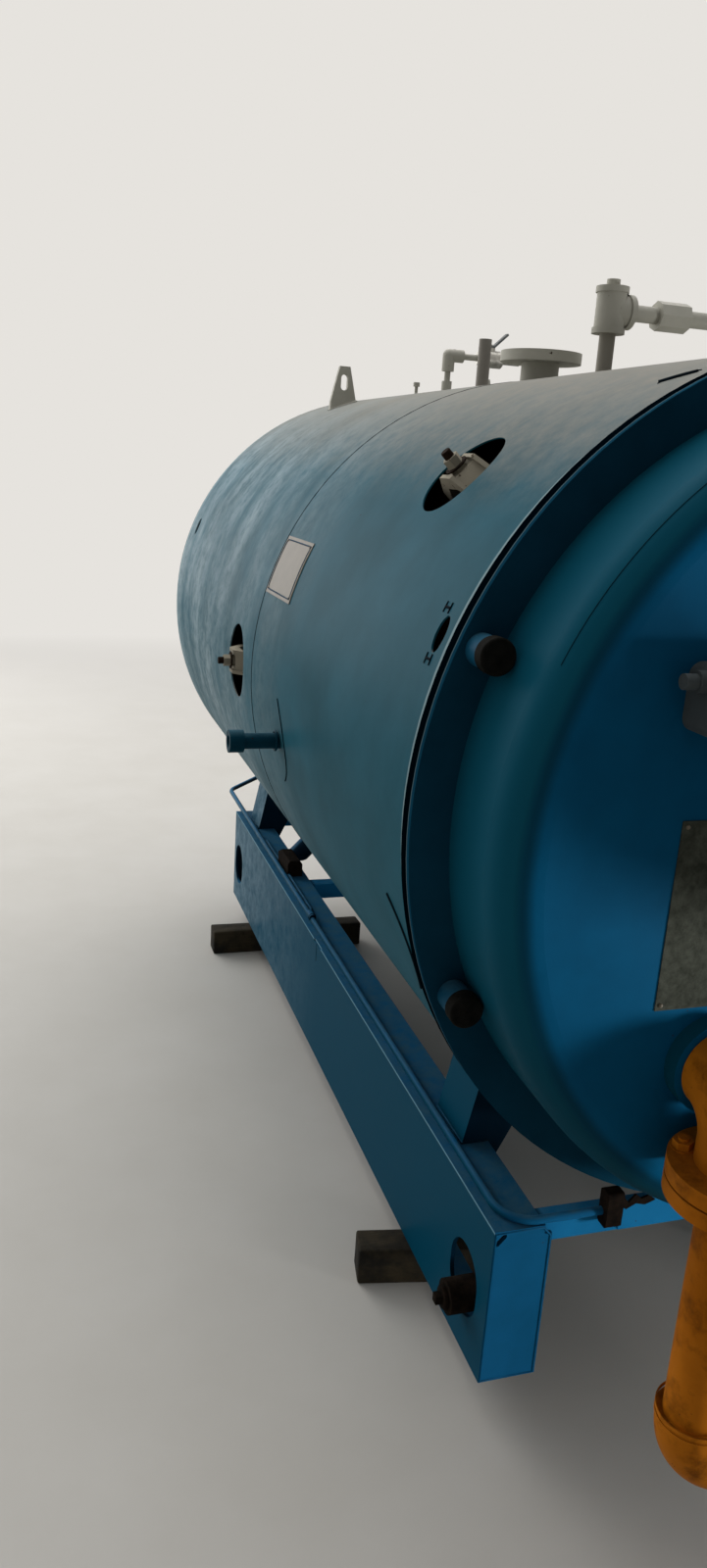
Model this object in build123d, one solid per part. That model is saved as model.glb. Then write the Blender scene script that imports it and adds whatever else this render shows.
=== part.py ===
"""Packaged fire-tube steam boiler on a channel skid, standing on timber blocks.

Units mm, +Z up, the front of the boiler faces -Y, +X is to the right of somebody facing it.
The origin is on the floor, under the middle of the bounding box.
"""
from build123d import *
from math import cos, radians, sin, sqrt
import os

os.makedirs("parts", exist_ok=True)

# Driving sizes of the vessel
JACKET_R = 686.0        # outer radius of the sheet jacket
JACKET_LEN = 2328.0     # jacket length, front edge to rear edge
JACKET_SHEET = 3.0      # jacket sheet thickness
SEAM_Y = 1084.0         # seam between the two jacket sections, behind the front edge
LAGGING = 80.0          # from the pressure shell's outer face to the jacket's
SHELL_R = JACKET_R - LAGGING
SHELL_WALL = 10.0
RING_R = JACKET_R + 9       # the front flange stands a little out of the jacket
REAR_RING_R = JACKET_R - 6  # the rear flange hides behind it
RING_BORE = SHELL_R - 46    # opening in both flanges
RING_T = 32.0           # thickness of the end flanges
RING_GAP = 10.0         # gap between jacket edge and end flange
HEAD_R = SHELL_R + 29   # outer radius of the heads
HEAD_DEPTH = 181.0      # how far the front head's flat middle stands off its flange
HEAD_KNUCKLE = 58.0     # radius of the head's rounded rim
HEAD_WALL = 12.0
SEAT = 0.3              # clearance left where one piece is seated on another's curved face

# Driving sizes of the skid and what it stands on
TIMBER_H = 80.0         # timber blocks, height and width
TIMBER_W = 68.0
BEAM_H = 305.0          # skid channel depth
BEAM_FLANGE = 92.0      # skid channel width
BEAM_WALL = 8.0
BEAM_OUT_X = 477.0      # outer face of the skid channel from the middle
BEAM_FRONT_Y = -10.0    # skid front end, from the jacket front edge
BEAM_LEN = JACKET_LEN - 76
JACKET_CLEAR = 34.0     # lowest line of the jacket over the top of the skid

BEAM_BASE = TIMBER_H
BEAM_TOP = BEAM_BASE + BEAM_H
AXIS_Z = BEAM_TOP + JACKET_CLEAR + JACKET_R
JACKET_TOP = AXIS_Z + JACKET_R
BEAM_IN_X = BEAM_OUT_X - BEAM_FLANGE
BEAM_REAR_Y = BEAM_FRONT_Y + BEAM_LEN

# Places along the boiler, from the jacket front edge
RING_FRONT_Y = -RING_GAP - RING_T
HEAD_FLAT_Y = RING_FRONT_Y - HEAD_DEPTH
REAR_RING_Y = JACKET_LEN + RING_GAP
REAR_FACE_Y = REAR_RING_Y + RING_T
REAR_DEPTH = 90.0

# Burner on the head and smoke outlet on the rear, which set the overall length
BURNER_FLANGE_R = 200.0
BURNER_FLANGE_T = 25.0
BURNER_LEN = 307.0
BURNER_R = 150.0
MOTOR_LEN = 190.0
MOTOR_R = 95.0
FLUE_R = 150.0
FLUE_WALL = 5.0
FLUE_LEN = 140.0
FLUE_UP = 250.0
FLUE_LEDGE = 5.0        # the rear cover's hole is this much smaller in radius than the duct

FRONT_END_Y = HEAD_FLAT_Y - BURNER_FLANGE_T - BURNER_LEN
REAR_END_Y = REAR_FACE_Y + REAR_DEPTH + FLUE_LEN
MID_Y = (FRONT_END_Y + REAR_END_Y) / 2


def place(shape):
    """Moves a shape from the jacket frame (Y from the front edge) to the part's own origin."""
    return Pos(0, -MID_Y, 0) * shape


def save(name, shape):
    export_step(place(shape), "parts/" + name + ".step")


def drum(radius, y0, y1, x=0.0, z=AXIS_Z):
    """Cylinder along Y from y0 to y1."""
    shape = Rot(-90, 0, 0) * Cylinder(radius, y1 - y0, align=(Align.CENTER, Align.CENTER, Align.MIN))
    return Pos(x, y0, z) * shape


def pillar(radius, z0, z1, x=0.0, y=0.0):
    """Upright cylinder from z0 to z1."""
    return Pos(x, y, z0) * Cylinder(radius, z1 - z0, align=(Align.CENTER, Align.CENTER, Align.MIN))


def bar(radius, x0, x1, y, z):
    """Cylinder along X from x0 to x1."""
    shape = Rot(0, 90, 0) * Cylinder(radius, x1 - x0, align=(Align.CENTER, Align.CENTER, Align.MIN))
    return Pos(x0, y, z) * shape


def block(x0, x1, y0, y1, z0, z1):
    return Pos((x0 + x1) / 2, (y0 + y1) / 2, (z0 + z1) / 2) * Box(x1 - x0, y1 - y0, z1 - z0)


def mirrored(shape):
    return mirror(shape, about=Plane.YZ)


def on_shell(angle, y, radius):
    """Location on the boiler at an angle from +X round the axis; local +Z points outwards, +Y rearwards."""
    turn = radians(angle)
    out = Vector(cos(turn), 0, sin(turn))
    origin = Vector(radius * cos(turn), y, AXIS_Z + radius * sin(turn))
    return Location(Plane(origin=origin, x_dir=Vector(0, 1, 0).cross(out), z_dir=out))


# Places of the openings in the jacket: angle round the axis, distance behind the front edge, sizes
HAND_FRONT = (136.4, 371.0, 172.0, 169.0)
HAND_REAR = (180.6, 1270.0, 180.0, 177.0)
SLOT_FRONT = (158.3, 51.0, 56.0, 34.0)
SLOT_REAR = (158.3, JACKET_LEN - 109.0, 56.0, 34.0)
NOZZLE = (188.0, 814.0)


def opening(spec):
    """Oval cutter through the jacket: long axis round the boiler, short axis along it."""
    angle, y, long_axis, short_axis = spec
    cutter = extrude(Ellipse(long_axis / 2, short_axis / 2), 120, both=True)
    return on_shell(angle, y, JACKET_R) * cutter


# Side nozzles: pipe out of the shell at nine o'clock with a coupling on its end
NOZZLE_R = 16.7
NOZZLE_BORE = 13.3
NOZZLE_END_X = JACKET_R + 101
HOLE_SLACK = 1.5        # the jacket's hole is this much larger in radius than a pipe
COUPLING_R = 24.0
COUPLING_LEN = 31.0
NOZZLE_Z = AXIS_Z + JACKET_R * sin(radians(NOZZLE[0]))
NOZZLE_IN_X = sqrt(SHELL_R ** 2 - (AXIS_Z - NOZZLE_Z) ** 2)

nozzle_hole = bar(NOZZLE_R + HOLE_SLACK, -NOZZLE_END_X, NOZZLE_END_X, NOZZLE[1], NOZZLE_Z)

# Fittings on top: place along the boiler, pipe radius
STEAM = (1160.0, 44.5)
RISER = (850.0, 16.7)
BLEED = (JACKET_LEN - 560, 8.6)
VENT = (BLEED[0] - 261, 16.7)
LUG_Y = JACKET_LEN - 288
LUG_X = 230.0
top_holes = [
    pillar(radius + HOLE_SLACK, AXIS_Z, JACKET_TOP + 1, 0, y)
    for y, radius in (STEAM, RISER, VENT, BLEED)
]

# Legs from the skid up to the shell, through the jacket
LEG_Y = (232.0, JACKET_LEN - 284)
LEG_DEPTH = 126.0
LEG_LAP = 30.0          # the inner part hangs this far down beside the channel's flange
LEG_OUT_X = BEAM_OUT_X - 39
LEG_IN_X = BEAM_IN_X - 33
LEG_LEAN_OUT = 0.2      # how far the outer and inner faces lean in, per mm of height
LEG_LEAN_IN = 0.48
LEG_END = 390.0         # the leaning box ends this far under the axis, inside the shell


def leg_block(y):
    """Leaning box on the left side, from the skid into the shell, lapping over the flange's edge."""
    top = AXIS_Z - LEG_END
    reach = top - BEAM_TOP
    outline = Polyline(
        (-LEG_OUT_X, BEAM_TOP), (-BEAM_IN_X, BEAM_TOP), (-BEAM_IN_X, BEAM_TOP - LEG_LAP),
        (-LEG_IN_X - LEG_LAP * LEG_LEAN_IN, BEAM_TOP - LEG_LAP),
        (-LEG_IN_X + reach * LEG_LEAN_IN, top), (-LEG_OUT_X + reach * LEG_LEAN_OUT, top), close=True,
    )
    return Pos(0, y + LEG_DEPTH, 0) * extrude(make_face(Plane.XZ * outline), LEG_DEPTH)


def leg(y):
    """Leg cut by the shell at its top."""
    return leg_block(y) - drum(SHELL_R, y - 10, y + LEG_DEPTH + 10)


def leg_slot(y):
    """Close opening for a leg through the jacket, which the leg carries, on the left side."""
    return offset(leg_block(y), SEAT, kind=Kind.INTERSECTION)


LUG_FOOT = 44.0         # half of the lug's width at its foot
LUG_T = 16.0
slots = [leg_slot(y) for y in LEG_Y]
lug_slot_x = LUG_FOOT + 2
lug_slot_y = LUG_T / 2 + 2
slots.append(block(-LUG_X - lug_slot_x, -LUG_X + lug_slot_x, LUG_Y - lug_slot_y, LUG_Y + lug_slot_y,
                   AXIS_Z, JACKET_TOP))
slots = slots + [mirrored(s) for s in slots]

# Blowdown pipe: leaves the shell low on the left and comes down to the left channel's inner edge
BLOW_Y = 1757.0
BLOW_R = 30.15
BLOW_WALL = 3.9
BLOW_SLOPE = 46.0
blow_turn = radians(BLOW_SLOPE)
blow_axis = Plane(origin=(-BEAM_IN_X, BLOW_Y, BEAM_TOP), x_dir=(0, 1, 0),
                  z_dir=(cos(blow_turn), 0, sin(blow_turn)))
blow_hole = blow_axis * Cylinder(BLOW_R + HOLE_SLACK, 2 * JACKET_R)
blow_y0 = BLOW_Y - 2 * BLOW_R
blow_y1 = BLOW_Y + 2 * BLOW_R


def jacket(y0, y1, holes):
    sheet = drum(JACKET_R, y0, y1) - drum(JACKET_R - JACKET_SHEET, y0 - 1, y1 + 1)
    for hole in holes:
        sheet = sheet - hole
    return sheet


front_holes = [opening(HAND_FRONT), opening(SLOT_FRONT), nozzle_hole, top_holes[1]] + slots
rear_holes = [opening(HAND_REAR), opening(SLOT_REAR), blow_hole, top_holes[0], *top_holes[2:]] + slots
save("jacket_front", jacket(0, SEAM_Y, front_holes))
save("jacket_rear", jacket(SEAM_Y, JACKET_LEN, rear_holes))

# Pressure shell: open tube with the two end flanges, and an opening under the steam outlet
steam_y, steam_r = STEAM
shell = drum(SHELL_R, -RING_GAP, REAR_RING_Y) - drum(SHELL_R - SHELL_WALL, -RING_GAP - 1, REAR_RING_Y + 1)
save("pressure_shell", shell - pillar(steam_r - 2, AXIS_Z, AXIS_Z + JACKET_R, 0, steam_y))

save("front_flange", drum(RING_R, RING_FRONT_Y, -RING_GAP) - drum(RING_BORE, RING_FRONT_Y - 1, 0))
rear_ring = drum(REAR_RING_R, REAR_RING_Y, REAR_FACE_Y)
save("rear_flange", rear_ring - drum(RING_BORE, REAR_RING_Y - 1, REAR_FACE_Y + 1))


def head_shape(depth, radius, knuckle):
    """Flat-faced head with a rounded rim, turned about the Z axis: open side at Z 0, flat at Z depth."""
    body = Cylinder(radius, depth, align=(Align.CENTER, Align.CENTER, Align.MIN))
    return fillet(body.edges().filter_by(GeomType.CIRCLE).sort_by(Axis.Z)[-1:], knuckle)


def flanged_head(depth):
    """Head pressed from plate: the outer shape less the same shape one wall smaller."""
    inside = head_shape(depth - HEAD_WALL, HEAD_R - HEAD_WALL, HEAD_KNUCKLE - HEAD_WALL)
    return head_shape(depth, HEAD_R, HEAD_KNUCKLE) - inside


# Gas line places: it enters the head low on the left
GAS_R = 44.45
GAS_WALL = 5.5
GAS_X = -291.0
GAS_IN_DOWN = 295.0     # heights of the gas line under the axis: where it enters, its joint, its foot
GAS_JOINT_DOWN = 425.0
GAS_FOOT_DOWN = 815.0
GAS_IN_Z = AXIS_Z - GAS_IN_DOWN
GAS_BEND = 72.0
GAS_COLLAR_R = 70.0
GAS_COLLAR_T = 26.0
GAS_Y = HEAD_FLAT_Y - GAS_COLLAR_T - GAS_BEND - 2       # the bend starts in front of the collar
GAS_RECESS_R = 58.0     # recess round the pipe in the collar's face
GAS_RECESS = 14.0
GAS_FLANGE_R = 95.25
GAS_FLANGE_T = 23.9
GAS_GASKET = 3.0
GAS_JOINT_Z = AXIS_Z - GAS_JOINT_DOWN
GAS_FOOT_Z = AXIS_Z - GAS_FOOT_DOWN
GAS_ELBOW_R = 60.0      # body of the upper elbow fitting
GAS_BAND_R = 54.0       # body of the foot elbow
GAS_STUB = 60.0

head = Pos(0, RING_FRONT_Y, AXIS_Z) * Rot(90, 0, 0) * flanged_head(HEAD_DEPTH)
head = head - drum(GAS_R + SEAT, HEAD_FLAT_Y - 5, RING_FRONT_Y + 50, GAS_X, GAS_IN_Z)
save("front_head", head)
rear = Pos(0, REAR_FACE_Y, AXIS_Z) * Rot(-90, 0, 0) * flanged_head(REAR_DEPTH)
flue_base = REAR_FACE_Y + REAR_DEPTH
smoke_hole = drum(FLUE_R - FLUE_WALL - FLUE_LEDGE, REAR_FACE_Y + 20, flue_base + 5, 0, AXIS_Z + FLUE_UP)
save("rear_cover", rear - smoke_hole)
flue = drum(FLUE_R, flue_base, flue_base + FLUE_LEN, 0, AXIS_Z + FLUE_UP)
flue = flue + drum(FLUE_R + 30, flue_base + FLUE_LEN - 8, flue_base + FLUE_LEN, 0, AXIS_Z + FLUE_UP)
flue = flue - drum(FLUE_R - FLUE_WALL, flue_base - 1, flue_base + FLUE_LEN + 1, 0, AXIS_Z + FLUE_UP)
save("smoke_outlet", flue)

# Clamp studs on the front flange: sleeve with a round nut, two on each side
STUD_R = 23.0
STUD_LEN = 38.0
STUD_NUT_R = 25.5
STUD_NUT_T = 22.0
STUD_PLACES = ((31.9, 158.04), (33.3, 202.96))      # distance in from the flange's edge, angle from +X
studs = []
for stud_in, stud_angle in STUD_PLACES:
    stud_x = (RING_R - stud_in) * cos(radians(stud_angle))
    stud_z = AXIS_Z + (RING_R - stud_in) * sin(radians(stud_angle))
    sleeve_end = RING_FRONT_Y - STUD_LEN
    nut = drum(STUD_NUT_R, sleeve_end - STUD_NUT_T, sleeve_end, stud_x, stud_z)
    nut = fillet(nut.edges().filter_by(GeomType.CIRCLE).sort_by(Axis.Y)[:1], 4)
    stud = drum(STUD_R, sleeve_end, RING_FRONT_Y, stud_x, stud_z) + nut
    studs += [stud, mirrored(stud)]
save("head_studs", Compound(children=studs))

# Gas line: collar, elbow, bolted flange pair, drop pipe, foot elbow turning to the right
collar = drum(GAS_COLLAR_R, HEAD_FLAT_Y - GAS_COLLAR_T, HEAD_FLAT_Y, GAS_X, GAS_IN_Z)
collar = collar - drum(GAS_R + SEAT, HEAD_FLAT_Y - GAS_COLLAR_T - 1, HEAD_FLAT_Y + 1, GAS_X, GAS_IN_Z)
collar = collar - drum(
    GAS_RECESS_R, HEAD_FLAT_Y - GAS_COLLAR_T - 1, HEAD_FLAT_Y - GAS_COLLAR_T + GAS_RECESS, GAS_X, GAS_IN_Z)
save("gas_collar", collar)


upper_end_z = GAS_JOINT_Z + GAS_GASKET / 2 + GAS_FLANGE_T
gas_inner = GAS_R - GAS_WALL
lead_in = drum(GAS_R, GAS_Y + GAS_BEND, HEAD_FLAT_Y + 20, GAS_X, GAS_IN_Z)
lead_in = lead_in - drum(gas_inner, GAS_Y + GAS_BEND - 1, HEAD_FLAT_Y + 21, GAS_X, GAS_IN_Z)
arc_centre = (GAS_X, GAS_Y + GAS_BEND, GAS_IN_Z - GAS_BEND)
bend_plane = Plane(origin=arc_centre, x_dir=(0, 0, 1), z_dir=(1, 0, 0))
arc = bend_plane * CenterArc((0, 0, 0), GAS_BEND, 0, 90)
ring = Circle(GAS_ELBOW_R) - Circle(gas_inner)
top_bend = sweep(Plane(origin=arc @ 0, z_dir=arc % 0) * ring, arc)
bend_foot = GAS_IN_Z - GAS_BEND
upper_leg = pillar(GAS_ELBOW_R, upper_end_z, bend_foot, GAS_X, GAS_Y) - pillar(
    gas_inner, upper_end_z - 1, bend_foot + 1, GAS_X, GAS_Y)
gas_elbow = lead_in + top_bend + upper_leg

FLANGE_BOLT = 76.2      # radius of the bolt circle of a 3 inch class 150 flange
FLANGE_HOLE_R = 9.5
FLANGE_TURNS = (45, 135, 225, 315)


def bolt_holes(x, y, z0, z1):
    """Four upright holes on the flange's bolt circle."""
    places = [(x + FLANGE_BOLT * cos(radians(a)), y + FLANGE_BOLT * sin(radians(a))) for a in FLANGE_TURNS]
    return [pillar(FLANGE_HOLE_R, z0, z1, hole_x, hole_y) for hole_x, hole_y in places]


flange_holes = bolt_holes(GAS_X, GAS_Y, GAS_FOOT_Z, GAS_IN_Z)


def gas_flange(z0, z1):
    plate = pillar(GAS_FLANGE_R, z0, z1, GAS_X, GAS_Y) - pillar(gas_inner, z0 - 1, z1 + 1, GAS_X, GAS_Y)
    for hole in flange_holes:
        plate = plate - hole
    return plate


lower_top_z = GAS_JOINT_Z - GAS_GASKET / 2
save("gas_elbow", gas_elbow + gas_flange(lower_top_z + GAS_GASKET, upper_end_z))
gasket = pillar(GAS_R + 18, lower_top_z, lower_top_z + GAS_GASKET, GAS_X, GAS_Y)
save("gas_gasket", gasket - pillar(gas_inner, lower_top_z - 1, lower_top_z + GAS_GASKET + 1, GAS_X, GAS_Y))
drop_top_z = lower_top_z - GAS_FLANGE_T
drop = pillar(GAS_R, GAS_FOOT_Z, drop_top_z, GAS_X, GAS_Y)
drop = drop - pillar(gas_inner, GAS_FOOT_Z - 1, drop_top_z + 1, GAS_X, GAS_Y)
save("gas_drop_pipe", drop + gas_flange(drop_top_z, lower_top_z))

foot_ring = Circle(GAS_BAND_R) - Circle(gas_inner)
foot_centre = (GAS_X + GAS_BEND, GAS_Y, GAS_FOOT_Z - 10)
foot_plane = Plane(origin=foot_centre, x_dir=(-1, 0, 0), z_dir=(0, -1, 0))
foot_arc = foot_plane * CenterArc((0, 0, 0), GAS_BEND, 0, 90)
foot = sweep(Plane(origin=foot_arc @ 0, z_dir=foot_arc % 0) * foot_ring, foot_arc)
foot_lip = pillar(GAS_BAND_R, GAS_FOOT_Z - 10, GAS_FOOT_Z, GAS_X, GAS_Y)
foot_lip = foot_lip - pillar(gas_inner, GAS_FOOT_Z - 11, GAS_FOOT_Z + 1, GAS_X, GAS_Y)
foot_end = foot_arc @ 1
stub = bar(GAS_R, foot_end.X, foot_end.X + GAS_STUB, GAS_Y, foot_end.Z)
stub = stub - bar(gas_inner, foot_end.X - 1, foot_end.X + GAS_STUB + 1, GAS_Y, foot_end.Z)
save("gas_foot_elbow", foot + foot_lip + stub)

# Side nozzles
pipe_in = NOZZLE_IN_X + 2
nozzle = bar(NOZZLE_R, -NOZZLE_END_X + COUPLING_LEN, -pipe_in, NOZZLE[1], NOZZLE_Z) + bar(
    COUPLING_R, -NOZZLE_END_X, -NOZZLE_END_X + COUPLING_LEN, NOZZLE[1], NOZZLE_Z)
nozzle = nozzle - drum(SHELL_R + SEAT, NOZZLE[1] - 60, NOZZLE[1] + 60)
nozzle = nozzle - bar(NOZZLE_BORE, -NOZZLE_END_X - 1, -SHELL_R + 100, NOZZLE[1], NOZZLE_Z)
save("side_nozzle_left", nozzle)
save("side_nozzle_right", mirrored(nozzle))


HAND_RIM_LONG = 66.0    # half axes of the rim ring on the shell
HAND_RIM_SHORT = 54.0
HAND_RIM_WALL = 12.0
HAND_RIM_TOP = 40.0     # height of the rim over the shell
YOKE_FOOT = 62.0        # half span of the yoke along the boiler
YOKE_TOP_HALF = 20.0
YOKE_HALF_WIDTH = 29.0
YOKE_RIB = 8.0
YOKE_RIB_UP = 7.0       # how far the ribs stand over the yoke's web
YOKE_TOP = 93.0
HAND_STUD_R = 8.0
HAND_STUD_END = 125.0
HAND_NUT_R = 14.4
HAND_NUT_T = 19.0


def yoke_profile(rise):
    """Side view of the yoke with its upper outline raised by rise."""
    low = HAND_RIM_TOP
    top = YOKE_TOP - YOKE_RIB_UP + rise
    half = YOKE_TOP_HALF
    return make_face(Plane.YZ * Polyline(
        (-YOKE_FOOT, low), (-YOKE_FOOT + 14, low), (-half, YOKE_TOP - 24), (half, YOKE_TOP - 24),
        (YOKE_FOOT - 14, low), (YOKE_FOOT, low), (YOKE_FOOT, low + 12 + rise), (half + 2, top),
        (-half - 2, top), (-YOKE_FOOT, low + 12 + rise), close=True,
    ))


def hand_hole(spec):
    """Oval rim on the shell, its plug with a stud, the ribbed yoke over the rim and the nut."""
    angle, y = spec[:2]
    spot = on_shell(angle, y, SHELL_R)
    inner_long = HAND_RIM_LONG - HAND_RIM_WALL
    inner_short = HAND_RIM_SHORT - HAND_RIM_WALL
    section = Ellipse(HAND_RIM_SHORT, HAND_RIM_LONG) - Ellipse(inner_short, inner_long)
    rim = spot * (Pos(0, 0, -15) * extrude(section, HAND_RIM_TOP + 15))
    rim = rim - drum(SHELL_R + SEAT, y - 120, y + 120)
    plug = Pos(0, 0, 12) * extrude(Ellipse(inner_short - SEAT, inner_long - SEAT), 14)
    web = Pos(-YOKE_HALF_WIDTH, 0, 0) * extrude(yoke_profile(0), 2 * YOKE_HALF_WIDTH)
    rib = extrude(yoke_profile(YOKE_RIB_UP), YOKE_RIB)
    yoke = web + Pos(-YOKE_HALF_WIDTH, 0, 0) * rib + Pos(YOKE_HALF_WIDTH - YOKE_RIB, 0, 0) * rib
    yoke = yoke - Pos(0, 0, YOKE_TOP) * Cylinder(HAND_STUD_R + SEAT, 120)
    stud = Pos(0, 0, (HAND_STUD_END + 26) / 2) * Cylinder(HAND_STUD_R, HAND_STUD_END - 26)
    nut = Pos(0, 0, YOKE_TOP - YOKE_RIB_UP) * extrude(RegularPolygon(HAND_NUT_R, 6), HAND_NUT_T + YOKE_RIB_UP)
    nut = nut - Pos(0, 0, YOKE_TOP) * Cylinder(HAND_STUD_R + SEAT, 80)
    return rim, spot * (plug + stud), spot * yoke, spot * nut


hand_holes = [hand_hole(HAND_FRONT), hand_hole(HAND_REAR)]
for index, name in enumerate(("rims", "plugs", "bridges", "nuts")):
    save("hand_hole_" + name, Compound(children=[pieces[index] for pieces in hand_holes]))

# Bare plates: one on the jacket beside the seam, one on the head
LABEL_ANGLE = 158.6
LABEL_HALF_TURN = 5.6
LABEL_Y = (853.0, 1072.0)
PLATE_T = 1.6
label = drum(JACKET_R + SEAT + PLATE_T, *LABEL_Y) - drum(JACKET_R + SEAT, LABEL_Y[0] - 1, LABEL_Y[1] + 1)
label_in = radians(LABEL_ANGLE - LABEL_HALF_TURN)
label_out = radians(LABEL_ANGLE + LABEL_HALF_TURN)
label_reach = 2 * JACKET_R
wedge = make_face(Plane.XZ * Polyline(
    (0, AXIS_Z), (label_reach * cos(label_in), AXIS_Z + label_reach * sin(label_in)),
    (label_reach * cos(label_out), AXIS_Z + label_reach * sin(label_out)), close=True))
wedge = Pos(0, LABEL_Y[1], 0) * extrude(wedge, LABEL_Y[1] - LABEL_Y[0])
save("side_label_plate", label & wedge)
HEAD_PLATE = (-391.0, -241.0, -211.0, 60.0)     # left, right, lower and upper edge from the axis
plate_x0, plate_x1, plate_low, plate_high = HEAD_PLATE
save("head_plate", block(
    plate_x0, plate_x1, HEAD_FLAT_Y - PLATE_T, HEAD_FLAT_Y, AXIS_Z + plate_low, AXIS_Z + plate_high))

# Connection box on the head
CONNECTION_BOX = (-415.0, -285.0, 180.0, 268.0, 70.0)
box_x0, box_x1, box_low, box_high, box_out = CONNECTION_BOX
casing = block(box_x0, box_x1, HEAD_FLAT_Y - box_out, HEAD_FLAT_Y, AXIS_Z + box_low, AXIS_Z + box_high)
casing = fillet(casing.edges().filter_by(Axis.Y), 18)
casing = fillet(casing.faces().sort_by(Axis.Y)[0].edges(), 10)
save("connection_box", casing)

# Burner: mounting flange, air casing and fan motor
flange_front = HEAD_FLAT_Y - BURNER_FLANGE_T
save("burner_flange", drum(BURNER_FLANGE_R, flange_front, HEAD_FLAT_Y, 0, AXIS_Z))
casing_front = flange_front - BURNER_LEN
air_casing = drum(BURNER_R, casing_front, flange_front, 0, AXIS_Z)
air_casing = fillet(air_casing.edges().filter_by(GeomType.CIRCLE).sort_by(Axis.Y)[:1], 40)
save("burner_casing", air_casing)
motor = bar(MOTOR_R, BURNER_R - 20, BURNER_R + MOTOR_LEN, flange_front - 160, AXIS_Z) - drum(
    BURNER_R + SEAT, casing_front - 1, flange_front + 1, 0, AXIS_Z)
save("fan_motor", motor)

# Steam outlet on top
STEAM_TOP = JACKET_TOP + 69
STEAM_WALL = 7.0
PIPE_START_Z = AXIS_Z + SHELL_R / 2     # the upright pipes are drawn from here and cut by the shell
steam = pillar(steam_r, PIPE_START_Z, STEAM_TOP - GAS_FLANGE_T, 0, steam_y)
steam = steam + pillar(GAS_FLANGE_R, STEAM_TOP - GAS_FLANGE_T, STEAM_TOP, 0, steam_y)
steam = steam - drum(SHELL_R + SEAT, steam_y - 200, steam_y + 200)
steam = steam - pillar(steam_r - STEAM_WALL, AXIS_Z, STEAM_TOP + 1, 0, steam_y)
for hole in bolt_holes(0, steam_y, STEAM_TOP - 60, STEAM_TOP + 1):
    steam = steam - hole
save("steam_outlet", steam)


def riser(radius, wall, y, top):
    """Upright pipe from the shell to the given height."""
    pipe = pillar(radius, PIPE_START_Z, top, 0, y) - drum(SHELL_R + SEAT, y - 100, y + 100)
    return pipe - pillar(radius - wall, AXIS_Z, top + 1, 0, y)


# Relief line: riser, tee with a plug, branch to the right with a union
relief_y, relief_r = RISER
TEE_MID = JACKET_TOP + 130
TEE_HALF = 46.0         # the tee's ends stand this far from its middle
TEE_LOW = TEE_MID - TEE_HALF
TEE_HIGH = TEE_MID + TEE_HALF
TEE_R = 31.0
BRANCH_END_X = 260.0
UNION_X = (109.0, 180.0)
UNION_R = 30.0
RELIEF_WALL = 3.4
tee = pillar(TEE_R, TEE_LOW, TEE_HIGH, 0, relief_y) + bar(TEE_R, 0, TEE_HALF, relief_y, TEE_MID)
tee = tee - pillar(relief_r - RELIEF_WALL, TEE_LOW - 1, TEE_HIGH - 20, 0, relief_y)
tee = tee - bar(relief_r - RELIEF_WALL, 0, TEE_HALF + 1, relief_y, TEE_MID)
tee = tee + pillar(14, TEE_HIGH, TEE_HIGH + 14, 0, relief_y)
save("relief_riser", tee + riser(relief_r, RELIEF_WALL, relief_y, TEE_LOW))
branch = bar(relief_r, TEE_HALF, BRANCH_END_X, relief_y, TEE_MID)
union = Rot(0, 90, 0) * extrude(RegularPolygon(UNION_R, 8), UNION_X[1] - UNION_X[0])
branch = branch + Pos(UNION_X[0], relief_y, TEE_MID) * union
branch = branch - bar(relief_r - RELIEF_WALL, TEE_HALF - 1, BRANCH_END_X + 1, relief_y, TEE_MID)
save("relief_branch", branch)

# Open vent pipe
vent_y, vent_r = VENT
VENT_TOP = JACKET_TOP + 127
save("vent_pipe", riser(vent_r, RELIEF_WALL, vent_y, VENT_TOP))

# Air bleed: riser with a coupling at its foot, elbow, ball valve with its stem upright, rising lever
bleed_y, bleed_r = BLEED
BLEED_Z = JACKET_TOP + 105
BLEED_FOOT = (14.5, 35.0)       # coupling at the foot: radius, top over the jacket
ELBOW_R = 17.5
ELBOW_ARM = 43.0
HEX_X = 87.0
HEX_R = 18.5
VALVE_X = (110.0, 163.0)
VALVE_R = 24.0
BOSS_X = 127.0
BOSS_R = 13.5
BOSS_TOP = BLEED_Z + 30
STEM_R = 5.0
STEM_LEN = 10.0
NIPPLE_R = 12.0
NIPPLE_END_X = 219.0
VALVE_BORE = 6.0
foot_r, foot_up = BLEED_FOOT
bleed = pillar(bleed_r, PIPE_START_Z, BLEED_Z, 0, bleed_y) - drum(SHELL_R + SEAT, bleed_y - 60, bleed_y + 60)
bleed = bleed + pillar(foot_r, JACKET_TOP + HOLE_SLACK, JACKET_TOP + foot_up, 0, bleed_y)
bleed = bleed + bar(bleed_r, 0, HEX_X, bleed_y, BLEED_Z)
bleed = bleed + pillar(ELBOW_R, BLEED_Z - ELBOW_ARM, BLEED_Z, 0, bleed_y)
bleed = bleed + bar(ELBOW_R, 0, ELBOW_ARM, bleed_y, BLEED_Z) + Pos(0, bleed_y, BLEED_Z) * Sphere(ELBOW_R)
save("bleed_pipe", bleed)
body = bar(VALVE_R, VALVE_X[0], VALVE_X[1], bleed_y, BLEED_Z)
body = chamfer(body.edges().filter_by(GeomType.CIRCLE), 3)
hexagon = Rot(0, 90, 0) * extrude(RegularPolygon(HEX_R, 6), VALVE_X[0] - HEX_X)
valve = body + Pos(HEX_X, bleed_y, BLEED_Z) * hexagon
valve = valve + bar(NIPPLE_R, VALVE_X[1], NIPPLE_END_X, bleed_y, BLEED_Z)
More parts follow.
